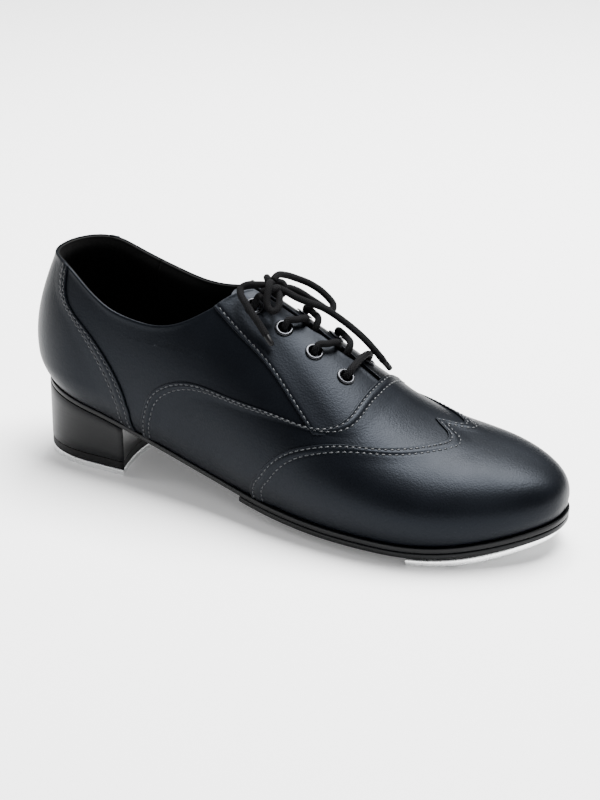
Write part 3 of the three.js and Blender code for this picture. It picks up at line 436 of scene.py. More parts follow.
class Cut:
    """One piece of leather on the last. edges says what each side does: over laps onto its neighbour, under
    runs below it, fold is a folded free edge, feather goes down into the sole, butt meets its neighbour edge
    to edge, and edge is a raw free edge."""

    def __init__(self, cut, edges, base=0.0, thick=LEATHER, rows=(), closed_front=False):
        self.cut, self.edges, self.base, self.thick = beyond(cut), dict(zip(EDGES, edges)), base, thick
        self.rows = rows                                   # (edge, distance) of each row of stitches
        self.closed_front = closed_front
        share = np.linspace(0, 1, 33)
        q, t = np.meshgrid(share, share, indexing="ij")
        at = skin(*self.cut(q, t), np.zeros(q.shape))
        across = np.linalg.norm(np.diff(at, axis=0), axis=-1).sum(0)
        upward = np.linalg.norm(np.diff(at, axis=1), axis=-1).sum(1)
        self.width = lambda s: np.maximum(np.interp(s, share, across), 3.0)
        self.height = lambda s: np.maximum(np.interp(s, share, upward), 3.0)

    def reach(self, side):
        return REACH[self.edges[side]]

    def outer(self, x, away):
        """Height of the top face for distances away from each side's line."""
        base = self.base(x, away) if callable(self.base) else self.base
        lap = np.zeros(x.shape)
        drop = np.zeros(x.shape)
        for side in EDGES:
            kind, d = self.edges[side], away[side]
            if kind == "over":
                lap = np.maximum(lap, STEP * (1 - smooth(d / 10)))
            elif kind == "under":
                drop = np.minimum(drop, -.35 * smooth(-d / 4.5))
            elif kind == "fold":
                lap = np.maximum(lap, .45 * np.exp(-(d / 1.6) ** 2))
        for side, distance in self.rows:
            drop = drop - .3 * np.exp(-((away[side] - distance) / .6) ** 2)
        return base + lap + drop

    def rounding(self, away):
        """How far the top face has rolled down at its raw and folded edges."""
        fall = 0
        for side in EDGES:
            if self.edges[side] in ("over", "fold"):
                r = .5 if self.edges[side] == "over" else .9
                inside = np.clip(1 - away[side] / r, 0, 1)
                fall = np.maximum(fall, r * (1 - np.sqrt(1 - inside ** 2)) * .8)
        return fall

    def stations(self, sides, count):
        a, b = (RIM[self.edges[s]] for s in sides)
        return a, b, max(count - len(a) - len(b), 2)

    def spread(self, stations, span, out_a, out_b):
        """Distances from the first side's line for every station, over an array of spans."""
        a, b, count = stations
        whole = span + out_a + out_b
        squeeze = np.minimum(1, .48 * whole / max(a[-1], b[-1]))
        first = [v * squeeze for v in a]
        last = [whole - v * squeeze for v in reversed(b)]
        middle = [lerp(first[-1], last[0], (i + 1) / (count + 1)) for i in range(count)]
        return np.stack(first + middle + last) - out_a

    def build(self, name, finish, q_count, t_count, body="shoe"):
        qs, ts = self.stations(("left", "right"), q_count), self.stations(("bottom", "top"), t_count)
        if self.closed_front:
            qs = (qs[0], [0], q_count - len(qs[0]) - 1)
        nq, nt = (len(s[0]) + len(s[1]) + s[2] for s in (qs, ts))
        q_share = np.linspace(0, 1, nq)
        up = self.spread(ts, self.height(q_share), self.reach("bottom"), self.reach("top")).T
        t = up / self.height(q_share)[:, None]
        width = self.width(np.clip(t, 0, 1))
        q = np.zeros((nq, nt))
        for j in range(nt):
            if self.closed_front:
                first = np.array(RIM[self.edges["left"]]) / width[:, j].mean()
                rest = lerp(first[-1], 1, np.arange(1, nq - len(first) + 1) / (nq - len(first)))
                q[:, j] = np.concatenate([first, rest])
            else:
                across = self.spread(qs, width[:, j], self.reach("left"), self.reach("right"))
                q[:, j] = across[np.arange(nq), np.arange(nq)] / width[:, j]
        x, v = self.cut(q, t)
        if self.closed_front:
            x[-1] = L
        height = self.height(np.clip(q, 0, 1))
        away = {"left": q * width, "right": (1 - q) * width, "bottom": t * height, "top": (1 - t) * height}
        if self.closed_front:
            away["right"] = np.full(q.shape, 99.0)
        outer = self.outer(x, away)
        top = skin(x, v, outer - self.rounding(away))
        under = skin(x, v, outer - self.thick)
        points = np.concatenate([top.reshape(-1, 3), under.reshape(-1, 3)])
        grid = np.arange(nq * nt).reshape(nq, nt)
        low = grid + nq * nt
        faces = []
        for g, turn in ((grid, 1), (low, -1)):
            quad = np.stack([g[:-1, :-1], g[1:, :-1], g[1:, 1:], g[:-1, 1:]], -1).reshape(-1, 4)
            faces += quad[:, ::turn].tolist()
        rims = [(grid[:, 0], low[:, 0]), (grid[:, -1], low[:, -1]), (grid[0], low[0])]
        if not self.closed_front:
            rims.append((grid[-1], low[-1]))
        for a, b in rims:
            faces += np.stack([a[:-1], a[1:], b[1:], b[:-1]], -1).tolist()
        return make_piece(name, points, faces, finish, body, weld=.02)

    def line(self, side, distance, a, b, count=400):
        """Points and normals on the top face, a distance in from a side, between two shares of it."""
        s = np.linspace(a, b, count)
        if side in ("left", "right"):
            share = distance / self.width(s)
            q, t = (share if side == "left" else 1 - share), s
        else:
            share = distance / self.height(s)
            q, t = s, (share if side == "bottom" else 1 - share)
        x, v = self.cut(q, t)
        away = {k: np.full(x.shape, 99.0) for k in EDGES}
        away[side] = np.full(x.shape, float(distance))
        return skin(x, v, self.outer(x, away) + .05), skin_normal(x, v)


def stitches(name, lines, finish, pitch=3.0, length=2.3, radius=.34, body="shoe"):
    """Lockstitch threads along lines of points and normals: each stitch rises from one needle hole and goes
    down at the next."""
    rings, sides = 5, 6
    points, faces = [], []
    ring_radius = radius * np.array([.55, .95, 1, .95, .55])
    ring_lift = np.array([-.16, .08, .14, .08, -.16])
    angle = np.arange(sides) * 2 * math.pi / sides
    for path, normal in lines:
        walked = np.concatenate([[0], np.cumsum(np.linalg.norm(np.diff(path, axis=0), axis=1))])
        count = int(walked[-1] // pitch)
        if count < 1:
            continue
        start = np.arange(count)[:, None] * (walked[-1] / count)
        at = start + np.linspace(0, length, rings)
        centre = np.stack([np.interp(at, walked, path[:, i]) for i in range(3)], -1)
        up = np.stack([np.interp(at, walked, normal[:, i]) for i in range(3)], -1)
        up /= np.linalg.norm(up, axis=-1, keepdims=True)
        along = np.gradient(centre, axis=1)
        along /= np.linalg.norm(along, axis=-1, keepdims=True)
        aside = np.cross(along, up)
        centre = centre + up * ring_lift[:, None]
        tube = (centre[:, :, None] + ring_radius[:, None, None] * (np.cos(angle)[:, None] * aside[:, :, None]
                                                                  + np.sin(angle)[:, None] * up[:, :, None]))
        base = sum(len(p) for p in points)
        points.append(tube.reshape(-1, 3))
        for k in range(count):
            o = base + k * rings * sides
            for r in range(rings - 1):
                for i in range(sides):
                    j = (i + 1) % sides
                    faces.append((o + r * sides + i, o + r * sides + j, o + (r + 1) * sides + j,
                                  o + (r + 1) * sides + i))
            faces.append(tuple(o + i for i in range(sides)))
            faces.append(tuple(o + (rings - 1) * sides + i for i in reversed(range(sides))))
    return make_piece(name, np.concatenate(points), faces, finish, body)


def cord_path(points, step=.6):
    """A smooth centripetal curve through points, with a point every step."""
    p = np.asarray(points, float)
    p = np.concatenate([[2 * p[0] - p[1]], p, [2 * p[-1] - p[-2]]])
    out = []
    for i in range(1, len(p) - 2):
        a, b, c, d = p[i - 1:i + 3]
        t = np.cumsum([0] + [max(np.linalg.norm(v - u) ** .5, 1e-4) for u, v in ((a, b), (b, c), (c, d))])
        count = max(int(np.linalg.norm(c - b) / step), 2)
        for s in np.linspace(t[1], t[2], count, endpoint=False):
            ab = lerp(a, b, (s - t[0]) / (t[1] - t[0]))
            bc = lerp(b, c, (s - t[1]) / (t[2] - t[1]))
            cd = lerp(c, d, (s - t[2]) / (t[3] - t[2]))
            out.append(lerp(lerp(ab, bc, (s - t[0]) / (t[2] - t[0])), lerp(bc, cd, (s - t[1]) / (t[3] - t[1])),
                            (s - t[1]) / (t[2] - t[1])))
    return np.array(out + [p[-2]])


def cord_mesh(name, path, radius, finish, body="shoe", closed=False, sides=16):
    """A round braided cord along a path. Its UVs run in mm along it and in shares round it."""
    count = len(path)
    along = np.gradient(path, axis=0)
    if closed:
        along[0] = along[-1] = path[1] - path[-2]
    along /= np.linalg.norm(along, axis=1, keepdims=True)
    aside = np.cross(along[0], (0, 0, 1.0))
    frames = []
    for k in range(count):
        aside = aside - along[k] * aside.dot(along[k])
        aside = aside / np.linalg.norm(aside)
        frames.append((aside, np.cross(along[k], aside)))
    angle = np.arange(sides) * 2 * math.pi / sides
    walked = np.concatenate([[0], np.cumsum(np.linalg.norm(np.diff(path, axis=0), axis=1))])
    size = np.broadcast_to(radius, (count,))
    rings = np.array([path[k] + size[k] * (np.cos(angle)[:, None] * u + np.sin(angle)[:, None] * w)
                      for k, (u, w) in enumerate(frames)])
    faces = []
    for k in range(count - 1):
        for i in range(sides):
            j = (i + 1) % sides
            faces.append((k * sides + i, k * sides + j, (k + 1) * sides + j, (k + 1) * sides + i))
    if not closed:
        faces.append(tuple(range(sides)))
        faces.append(tuple((count - 1) * sides + i for i in reversed(range(sides))))

    def lay(corner, mesh):
        u, v = walked[corner // sides], (corner % sides) / sides
        start = np.zeros(len(mesh.polygons), int)
        mesh.polygons.foreach_get("loop_start", start)
        for s in start[: (count - 1) * sides]:
            if v[s:s + 4].max() - v[s:s + 4].min() > .5:
                v[s:s + 4] = np.where(v[s:s + 4] < .5, v[s:s + 4] + 1, v[s:s + 4])
        return np.stack([u, v], -1)
    return make_piece(name, rings.reshape(-1, 3), faces, finish, body, uv=lay)


def turned(name, profile, point, direction, finish, body="shoe", segments=40):
    """A turned piece standing on a point, its axis along a direction. The profile runs radius, height, and
    closes on itself unless it starts and ends on the axis."""
    axis = np.asarray(direction, float) / np.linalg.norm(direction)
    aside = np.cross(axis, (0, 1.0, 0) if abs(axis[1]) < .9 else (1.0, 0, 0))
    aside /= np.linalg.norm(aside)
    other = np.cross(axis, aside)
    angle = np.arange(segments) * 2 * math.pi / segments
    points = np.array([[point + r * (math.cos(a) * aside + math.sin(a) * other) + h * axis for a in angle]
                       for r, h in profile])
    count = len(profile)
    closed = profile[0][0] > .001
    faces = []
    for k in range(count if closed else count - 1):
        n = (k + 1) % count
        for i in range(segments):
            j = (i + 1) % segments
            faces.append((k * segments + i, k * segments + j, n * segments + j, n * segments + i))
    return make_piece(name, points.reshape(-1, 3), faces, finish, body, weld=.004)


# ---- finishes ------------------------------------------------------------------------------------------
def paint(hex_colour):
    """An sRGB hex colour as linear red, green, blue and a full alpha."""
    channels = [int(hex_colour[i:i + 2], 16) / 255 for i in (1, 3, 5)]
    return [c / 12.92 if c <= .04045 else ((c + .055) / 1.055) ** 2.4 for c in channels] + [1.0]


def add(tree, kind, links=None, inputs=None, **settings):
    """Adds one node. settings are its own properties, inputs its plain socket values, and links join its
    sockets to other nodes' outputs."""
    node = tree.nodes.new(kind)
    for name, value in settings.items():
        setattr(node, name, value)
    for socket, value in (inputs or {}).items():
        node.inputs[socket].default_value = value
    for socket, source in (links or {}).items():
        tree.links.new(source, node.inputs[socket])
    return node


def start_finish(name, **surface):
    """A material whose surface shader has these values on its own sockets. Returns it, its tree and shader."""
    finish = bpy.data.materials.new(name)
    finish.use_nodes = True
    tree = finish.node_tree
    shader = tree.nodes["Principled BSDF"]
    for socket, value in surface.items():
        shader.inputs[socket.replace("_", " ")].default_value = value
    return finish, tree, shader


def per_mm(size):
    """Pattern scale that gives one cell per so many millimetres, in coordinates of metres."""
    return 1 / (size * MM)


def upper_leather():
    # Chrome-tanned calf, pigment-finished and lightly waxed: black with a cool, soft sheen over a fine grain.
    finish, tree, shader = start_finish("black_calf_leather", Roughness=.42, IOR=1.5, Specular_IOR_Level=.11,
                                        Specular_Tint=paint("#DDE9FC"))
    place = add(tree, "ShaderNodeTexCoord").outputs["Object"]
    # Grain cells of calf are about 0.5 mm; these are 0.9 mm, so that they still show at this distance.
    grain = add(tree, "ShaderNodeTexVoronoi", {"Vector": place}, {"Scale": per_mm(.9), "Randomness": 1.0})
    pores = add(tree, "ShaderNodeTexNoise", {"Vector": place}, {"Scale": per_mm(2.2), "Detail": 4.0})
    height = add(tree, "ShaderNodeMath", {0: grain.outputs["Distance"], 1: pores.outputs["Fac"]}, operation="ADD")
    bump = add(tree, "ShaderNodeBump", {"Height": height.outputs[0]}, {"Strength": .3, "Distance": .16 * MM})
    tree.links.new(bump.outputs["Normal"], shader.inputs["Normal"])
    # The finish is rubbed thinner in cloudy patches a few centimetres across.
    cloud = add(tree, "ShaderNodeTexNoise", {"Vector": place}, {"Scale": per_mm(24), "Detail": 3.0})
    rough = add(tree, "ShaderNodeMapRange", {"Value": cloud.outputs["Fac"]},
                {"From Min": .3, "From Max": .7, "To Min": .38, "To Max": .46})
    tree.links.new(rough.outputs["Result"], shader.inputs["Roughness"])
    tone = add(tree, "ShaderNodeMix", {"Factor": cloud.outputs["Fac"]}, data_type="RGBA")
    tone.inputs[6].default_value, tone.inputs[7].default_value = paint("#040507"), paint("#07090D")
    tree.links.new(tone.outputs[2], shader.inputs["Base Color"])
    return finish


def lining_leather():
    # Pigskin split, dyed black and left unfinished: matt, with small hair pores in threes.
    finish, tree, shader = start_finish("black_pigskin_lining", Roughness=.75, Base_Color=paint("#050505"),
                                        Specular_IOR_Level=.12)
    place = add(tree, "ShaderNodeTexCoord").outputs["Object"]
    pores = add(tree, "ShaderNodeTexVoronoi", {"Vector": place}, {"Scale": per_mm(1.8)})
    bump = add(tree, "ShaderNodeBump", {"Height": pores.outputs["Distance"]}, {"Strength": .35, "Distance": .15 * MM})
    tree.links.new(bump.outputs["Normal"], shader.inputs["Normal"])
    return finish


def sole_edge():
    # Trimmed sole leather, inked black and burnished with wax: smooth, with faint lines from the edge iron.
    finish, tree, shader = start_finish("inked_sole_leather", Roughness=.4, Base_Color=paint("#050608"),
                                        Specular_IOR_Level=.15)
    place = add(tree, "ShaderNodeTexCoord").outputs["Object"]
    flat = add(tree, "ShaderNodeMapping", {"Vector": place}, {"Scale": (1, 1, 9)})
    lines = add(tree, "ShaderNodeTexNoise", {"Vector": flat.outputs[0]}, {"Scale": per_mm(14), "Detail": 3.0})
    bump = add(tree, "ShaderNodeBump", {"Height": lines.outputs["Fac"]}, {"Strength": .25, "Distance": .25 * MM})
    tree.links.new(bump.outputs["Normal"], shader.inputs["Normal"])
    return finish


def lift_rubber():
    # Moulded nitrile rubber, black: matt, with a fine sanded tooth.
    finish, tree, shader = start_finish("moulded_nitrile_rubber", Roughness=.6, Base_Color=paint("#050506"),
                                        Specular_IOR_Level=.15)
    place = add(tree, "ShaderNodeTexCoord").outputs["Object"]
    tooth = add(tree, "ShaderNodeTexNoise", {"Vector": place}, {"Scale": per_mm(.8), "Detail": 2.0})
    bump = add(tree, "ShaderNodeBump", {"Height": tooth.outputs["Fac"]}, {"Strength": .3, "Distance": .1 * MM})
    tree.links.new(bump.outputs["Normal"], shader.inputs["Normal"])
    return finish


def tap_metal():
    # Die-cast aluminium, tumbled bright: pale, soft mirror with fine crossing scuffs.
    finish, tree, shader = start_finish("tumbled_aluminium", Metallic=1.0, Roughness=.36,
                                        Base_Color=paint("#EDEEEE"))
    place = add(tree, "ShaderNodeTexCoord").outputs["Object"]
    long_way = add(tree, "ShaderNodeMapping", {"Vector": place}, {"Scale": (1, 14, 4), "Rotation": (0, 0, .5)})
    scuffs = add(tree, "ShaderNodeTexNoise", {"Vector": long_way.outputs[0]}, {"Scale": per_mm(9), "Detail": 5.0})
    bump = add(tree, "ShaderNodeBump", {"Height": scuffs.outputs["Fac"]}, {"Strength": .2, "Distance": .06 * MM})
    tree.links.new(bump.outputs["Normal"], shader.inputs["Normal"])
    rough = add(tree, "ShaderNodeMapRange", {"Value": scuffs.outputs["Fac"]},
                {"From Min": .3, "From Max": .7, "To Min": .22, "To Max": .38})
    tree.links.new(rough.outputs["Result"], shader.inputs["Roughness"])
    return finish


def screw_steel():
    # Zinc-plated steel screw: cooler and a little darker than the plate, with turning marks.
    finish, tree, shader = start_finish("zinc_plated_steel", Metallic=1.0, Roughness=.32,
                                        Base_Color=paint("#B9BCBF"))
    place = add(tree, "ShaderNodeTexCoord").outputs["Object"]
    marks = add(tree, "ShaderNodeTexNoise", {"Vector": place}, {"Scale": per_mm(.7), "Detail": 2.0})
    bump = add(tree, "ShaderNodeBump", {"Height": marks.outputs["Fac"]}, {"Strength": .15, "Distance": .05 * MM})
    tree.links.new(bump.outputs["Normal"], shader.inputs["Normal"])
    return finish


def eyelet_metal():
    # Rolled brass eyelet, blackened nickel plate: dark metal with a worn bright rim.
    finish, tree, shader = start_finish("black_nickel_brass", Metallic=1.0, Roughness=.24,
                                        Base_Color=paint("#3A3B3E"))
    place = add(tree, "ShaderNodeTexCoord").outputs["Object"]
    wear = add(tree, "ShaderNodeTexNoise", {"Vector": place}, {"Scale": per_mm(2.5), "Detail": 3.0})
    rough = add(tree, "ShaderNodeMapRange", {"Value": wear.outputs["Fac"]},
                {"From Min": .3, "From Max": .7, "To Min": .2, "To Max": .38})
    tree.links.new(rough.outputs["Result"], shader.inputs["Roughness"])
    return finish


def lace_braid():
    # Polyester yarn in a sixteen-strand round braid over a core: black, matt, with slanting crossed plaits.
    finish, tree, shader = start_finish("braided_polyester_cord", Roughness=.8, Specular_IOR_Level=.1)
    along = add(tree, "ShaderNodeUVMap", uv_map="along").outputs[0]
    split = add(tree, "ShaderNodeSeparateXYZ", {0: along}).outputs
    plaits = []
    for hand in (1, -1):
        # Each plait leans once round the cord in 9 mm, eight side by side.
        turn = add(tree, "ShaderNodeMath", {0: split["X"]}, {1: hand / 9.0}, operation="MULTIPLY")
        lean = add(tree, "ShaderNodeMath", {0: turn.outputs[0], 1: split["Y"]}, operation="ADD")
        count = add(tree, "ShaderNodeMath", {0: lean.outputs[0]}, {1: 8 * math.pi}, operation="MULTIPLY")
        wave = add(tree, "ShaderNodeMath", {0: count.outputs[0]}, operation="SINE")
        plaits.append(add(tree, "ShaderNodeMath", {0: wave.outputs[0]}, operation="ABSOLUTE").outputs[0])
    weave = add(tree, "ShaderNodeMath", {0: plaits[0], 1: plaits[1]}, operation="MULTIPLY").outputs[0]
    bump = add(tree, "ShaderNodeBump", {"Height": weave}, {"Strength": .9, "Distance": .35 * MM})
    tree.links.new(bump.outputs["Normal"], shader.inputs["Normal"])
    # Painted shade and highlight: the colour follows the plaits' height, darker in the grooves between them and
    # lighter on their crowns.
    tone = add(tree, "ShaderNodeMix", {"Factor": weave}, data_type="RGBA")
    tone.inputs[6].default_value, tone.inputs[7].default_value = paint("#020203"), paint("#0C0C0E")
    tree.links.new(tone.outputs[2], shader.inputs["Base Color"])
    return finish


def plain_finish(name, colour, roughness, cell, strength=.3, **surface):
    """A finish of one colour with a fine tooth, its cells so many mm across."""
    finish, tree, shader = start_finish(name, Base_Color=paint(colour), Roughness=roughness, **surface)
    place = add(tree, "ShaderNodeTexCoord").outputs["Object"]
    cells = add(tree, "ShaderNodeTexNoise", {"Vector": place}, {"Scale": per_mm(cell), "Detail": 3.0})
    bump = add(tree, "ShaderNodeBump", {"Height": cells.outputs["Fac"]}, {"Strength": strength, "Distance": .2 * MM})
    tree.links.new(bump.outputs["Normal"], shader.inputs["Normal"])
    return finish


calf = upper_leather()
pigskin = lining_leather()
sole_leather = sole_edge()
rubber = lift_rubber()
aluminium = tap_metal()
steel = screw_steel()
black_nickel = eyelet_metal()
braid = lace_braid()
# Bonded nylon thread, dyed black: a hard twisted line that catches the light.
thread = plain_finish("bonded_nylon_thread", "#1D2024", .4, .5)
# Acetate film rolled hot round the lace's end: hard, dark and glossy.
film = plain_finish("rolled_acetate_film", "#050506", .4, 3, .1, Specular_IOR_Level=.2)
# Leather fibre board, ground cork in latex, and buckram stiffened with resin, all hidden inside.
fibre_board = plain_finish("leather_fibre_board", "#2B241C", .9, 1.2)
cork = plain_finish("ground_cork", "#7A5836", .95, 2.5)
buckram = plain_finish("resin_buckram", "#24211C", .85, 1.5)
floor_paint = plain_finish("studio_floor", "#F6F6F6", .9, 60, .02, Specular_IOR_Level=.1,
                           Emission_Color=paint("#FFFFFF"), Emission_Strength=.16)

# ---- upper ---------------------------------------------------------------------------------------------
LAYER_GAP, STIFFENER = .6, 1.0
FLAP_DEPTH = 1.3 + LAYER_GAP + 1.0


def lining_out(x, away):
    """How deep the lining lies: deeper where the heel counter and the toe puff are, and right under the upper
    where the two are stitched together at the topline."""
    s = x / L
    room = 1 - smooth((s - .24) / .1) + smooth((s - .7) / .1)
    return lerp(-.62, -1.3 - LAYER_GAP - room * (STIFFENER + LAYER_GAP), smooth((away["top"] + .3) / 5))


collar_corner = (COLLAR_FRONT, float(collar(COLLAR_FRONT)))


def side_cuts(side):
    """The cuts of one side's quarter, lacing flap and lining, up to their own topline and edge of the slit."""
    quarter = patch(foxing_front, flap_back,
                    chain((straight(foxing_front(0.0), vamp_back(0.0)), .06), (part(vamp_back, 0, FLAP_FOOT), 1)),
                    collar_line(FOXING_TOP, COLLAR_FRONT, side))
    share = share_at_level(vamp_back, float(slit_line(THROAT, THROAT, 0, side)(0.0)[1]))
    foot = float(vamp_back(share)[0])
    flap = patch(flap_back, slit_line(foot, FLAP_TOP, 0, side), part(vamp_back, FLAP_FOOT, share),
                 straight(collar_corner, slit_line(FLAP_TOP, FLAP_TOP, 0, side)(0.0)))
    lining = patch(grip_edge(side),
                   part(lining_join, 0, share_at_level(lining_join, float(slit_line(foot, foot, .8, side)(0.0)[1]))),
                   straight((GRIP_FRONT, 0), lining_join(0.0)),
                   chain((collar_line(GRIP_FRONT, COLLAR_FRONT, side), .45),
                         (straight(collar_corner, slit_line(FLAP_TOP, FLAP_TOP, .8, side)(0.0)), .55),
                         (slit_line(FLAP_TOP, foot, .8, side), 1)))
    return quarter, flap, lining


def flap_point(x, distance, h):
    return skin(x, level_from_ridge(x, distance), h)


EYELETS_OUT = (10.8, 11.8, 13.6, 14.8)                     # each eyelet's centre to the ridge, ankle to toe


def eyelet_seat(row, side):
    seat = flap_point(ROWS[row], side * EYELETS_OUT[row], 0.0)
    up = flap_point(ROWS[row], side * EYELETS_OUT[row], 5.0) - seat
    return seat, up / np.linalg.norm(up)


def eyelet_punches(side):
    return [turned("punch", [(0, -7), (3.35, -7), (3.35, 7), (0, 7)], *eyelet_seat(row, side), calf, segments=24)
            for row in range(4)]


double = [("left", 1.4), ("left", 4.6)]
toe_cap = Cut(toe_patch(wing_edge), ("over", "butt", "feather", "feather"), rows=double, closed_front=True)
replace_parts(toe_cap.build("toe_cap_leather", calf, 74, 130), "toe_cap")
vamp = Cut(across_patch(vamp_back, wing_edge), ("over", "under", "feather", "feather"), rows=double)
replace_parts(vamp.build("vamp_leather", calf, 54, 170), "vamp")
foxing = Cut(heel_patch(foxing_front, collar), ("over", "over", "feather", "fold"),
             rows=double + [("right", 1.4), ("right", 4.6)])
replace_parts(foxing.build("heel_foxing_leather", calf, 110, 44), "heel_foxing")
seams = [piece.line("left", d, .004, .996, 1600) for piece in (toe_cap, vamp) for d in (1.4, 4.6)]
seams += [foxing.line(side, d, .01, .985) for side in ("left", "right") for d in (1.4, 4.6)]
for name, side, hand in (("lateral", -1, lambda cut: cut), ("medial", 1, mirrored)):
    quarter_cut, flap_cut, lining_cut = side_cuts(side)
    quarter = Cut(hand(quarter_cut), ("under", "under", "under", "fold"))
    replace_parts(quarter.build(f"quarter_{name}_leather", calf, 66, 44), f"quarter_{name}")
    flap = Cut(hand(flap_cut), ("over", "fold", "under", "fold"), rows=[("left", 1.7)])
    leather = flap.build(f"facing_{name}_leather", calf, 48, 60)
    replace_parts(drill(leather, eyelet_punches(side)), f"lacing_flap_{name}")
    seams.append(flap.line("left", 1.7, .02, .98))
    lining = Cut(hand(lining_cut), ("butt", "butt", "feather", "edge"), base=lining_out, thick=.9)
    inner = drill(lining.build(f"quarter_{name}_lining", pigskin, 60, 40), eyelet_punches(side))
    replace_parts(inner, f"quarter_lining_{name}")
stitches("upper_stitching", seams, thread)
vamp_lining = Cut(toe_patch(lining_join), ("butt", "butt", "feather", "feather"),
                  base=lambda x, away: lining_out(x, {"top": np.full(np.shape(x), 99.0)}), thick=.9,
                  closed_front=True)
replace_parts(vamp_lining.build("vamp_lining_leather", pigskin, 40, 70), "vamp_lining")
grip = Cut(heel_patch(grip_edge(), collar), ("butt", "butt", "feather", "edge"), base=lining_out, thick=.9)
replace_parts(grip.build("heel_grip_suede", pigskin, 70, 30), "heel_grip")


def tongue_out(x, away):
    dip = 1 - smooth((x - ROWS[3] - 3.4) / 10)
    return -FLAP_DEPTH - .6 - dip * 4.0


def tongue_cut(q, t):
    x = lerp(.69 * L, .4 * L, q)
    half = 21 * lerp(.8, 1, smooth(q * 2))
    return x, level_from_ridge(x, lerp(-half, half, t))


tongue = Cut(tongue_cut, ("edge", "edge", "edge", "edge"), base=tongue_out, thick=1.6)
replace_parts(tongue.build("tongue_leather", calf, 60, 40, body="tongue"), "tongue")

for row in range(4):
    for name, side in (("lateral", -1), ("medial", 1)):
        seat, up = eyelet_seat(row, side)
        low = -FLAP_DEPTH - .3
        ring = turned(f"eyelet_ring_{name}_{row + 1}",
                      [(2.75, low), (3.2, low), (3.2, .15), (4.35, .15), (4.5, .4), (4.3, .75), (3.8, .98), (3.3, .92),
                       (2.95, .7), (2.78, .3)], seat, up, black_nickel)
        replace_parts(ring, f"eyelet_{name}_{row + 1}")

# ---- soles and heel ------------------------------------------------------------------------------------
HEEL_FRONT, HALF_SOLE_START, TAP_START = 59.5, 131, 221
# How far the heel draws in towards the floor at its back and each side, and how hollow its front is.
BACK_TAPER, SIDE_TAPER, HEEL_HOLLOW = -.8, .1, 5


def sole_top(x):
    return feather(np.clip(x, 0, L)) - .3


def below_sole(drop):
    return lambda x: sole_top(x) - drop


def sole_edge_out(x):
    """How far the sole stands out past the feather line: heel, waist, then forefoot."""
    return lerp(lerp(.35, .6, smooth((x - 45) / 25)), 1.5, smooth((x - HALF_SOLE_START + 15) / 35))


def inner_edge(x):
    return -3.5 - (1 - smooth((x / L - .24) / .1) + smooth((x / L - .7) / .1)) * 1.6


def outline(edge, start=None, count=150, fine=360):
    """The feather line in plan, moved outwards: its outer and inner side, each from back to front."""
    x = (1 - np.cos(np.linspace(0, math.pi, fine + 1))) * L / 2
    ring = np.concatenate([last_point(x, 0.0), last_point(x, 2.0)[-2:0:-1]])[:, :2]
    ahead = np.roll(ring, -1, 0) - np.roll(ring, 1, 0)
    ahead /= np.linalg.norm(ahead, axis=1, keepdims=True)
    ring = ring + np.stack([ahead[:, 1], -ahead[:, 0]], -1) * edge(ring[:, 0])[:, None]
    sides = []
    for side in (ring[:fine + 1], ring[np.r_[0, 2 * fine - 1:fine - 1:-1]]):
        steps = np.arange(fine + 1)
        first = 0 if start is None else np.interp(start, side[:, 0], steps)
        at = np.linspace(first, fine, count + 1)
        sides.append(np.stack([np.interp(at, steps, side[:, i]) for i in (0, 1)], -1))
    return sides


def plate(name, top, bottom, edge, finish, start=None, hollow=0.0, roll=.45, across=24):
    """A sole layer between two heights that follow x, with rolled rims."""
    rims = [(roll, 0), (.3 * roll, .08), (0, .22), (0, .5), (0, .78), (.3 * roll, .92), (roll, 1)]
    share = np.linspace(0, 1, across + 1)
    levels = []
    for inset, up in rims:
        lateral, medial = outline(lambda x: edge(x) - inset, None if start is None else start + inset)
        grid = lateral[:, None] + (medial - lateral)[:, None] * share[:, None]
        fade = np.clip(1 - np.arange(len(lateral)) / 60, 0, 1) ** 2
        grid[..., 0] += hollow * (1 - (2 * share - 1) ** 2) * fade[:, None]
        z = lerp(bottom(grid[..., 0]), top(grid[..., 0]), up)
        levels.append(np.concatenate([grid, z[..., None]], -1))
    rows, columns = levels[0].shape[:2]
    index = np.arange(rows * columns).reshape(rows, columns)
    rim = np.concatenate([index[:, 0], index[-1, 1:], index[-2::-1, -1], index[0, -2:0:-1]])
    points = np.concatenate([level.reshape(-1, 3) for level in levels])
    faces = []
    for k, turn in ((0, 1), (len(rims) - 1, -1)):
        g = index + k * rows * columns
        faces += np.stack([g[:-1, :-1], g[1:, :-1], g[1:, 1:], g[:-1, 1:]], -1).reshape(-1, 4)[:, ::turn].tolist()
    for k in range(len(rims) - 1):
        a, b = rim + k * rows * columns, rim + (k + 1) * rows * columns
        faces += np.stack([a, np.roll(a, -1), np.roll(b, -1), b], -1).tolist()
    used = np.unique(np.concatenate([np.array(f) for f in faces]))
    lookup = np.zeros(len(points), int)
    lookup[used] = np.arange(len(used))
    return make_piece(name, points[used], [lookup[list(f)] for f in faces], finish, weld=.01)


def screw_seats():
    """Where each tap screw stands, the way it points, and its length."""
    tap_bottom = below_sole(2.6 + .3 + 3.0 + .3 + 3.6)
    seats = []
    for i, (x, y) in enumerate([(L - 14, 3.5), (TAP_START + 18, -34), (TAP_START + 18, 27)]):
        lean = np.array([rise_at((x - 1) / L) - rise_at((x + 1) / L), 0, 2.0])
        point = np.array([x, y, float(tap_bottom(x))])
        seats.append((f"toe_tap_screw_{i + 1}", point, lean / np.linalg.norm(lean), 8))
    for i, (x, y) in enumerate([(20, 0), (HEEL_FRONT - 14, -19), (HEEL_FRONT - 14, 19)]):
        seats.append((f"heel_tap_screw_{i + 1}", np.array([x, y, 0.0]), np.array([0, 0, 1.0]), 12))
    return seats


def countersinks(which):
    return [turned("sink", [(0, -3), (3.7, -3), (3.7, .4), (1.9, 2.2), (1.9, 9), (0, 9)], point, way, aluminium,
                   segments=32) for name, point, way, length in screw_seats() if name.startswith(which)]


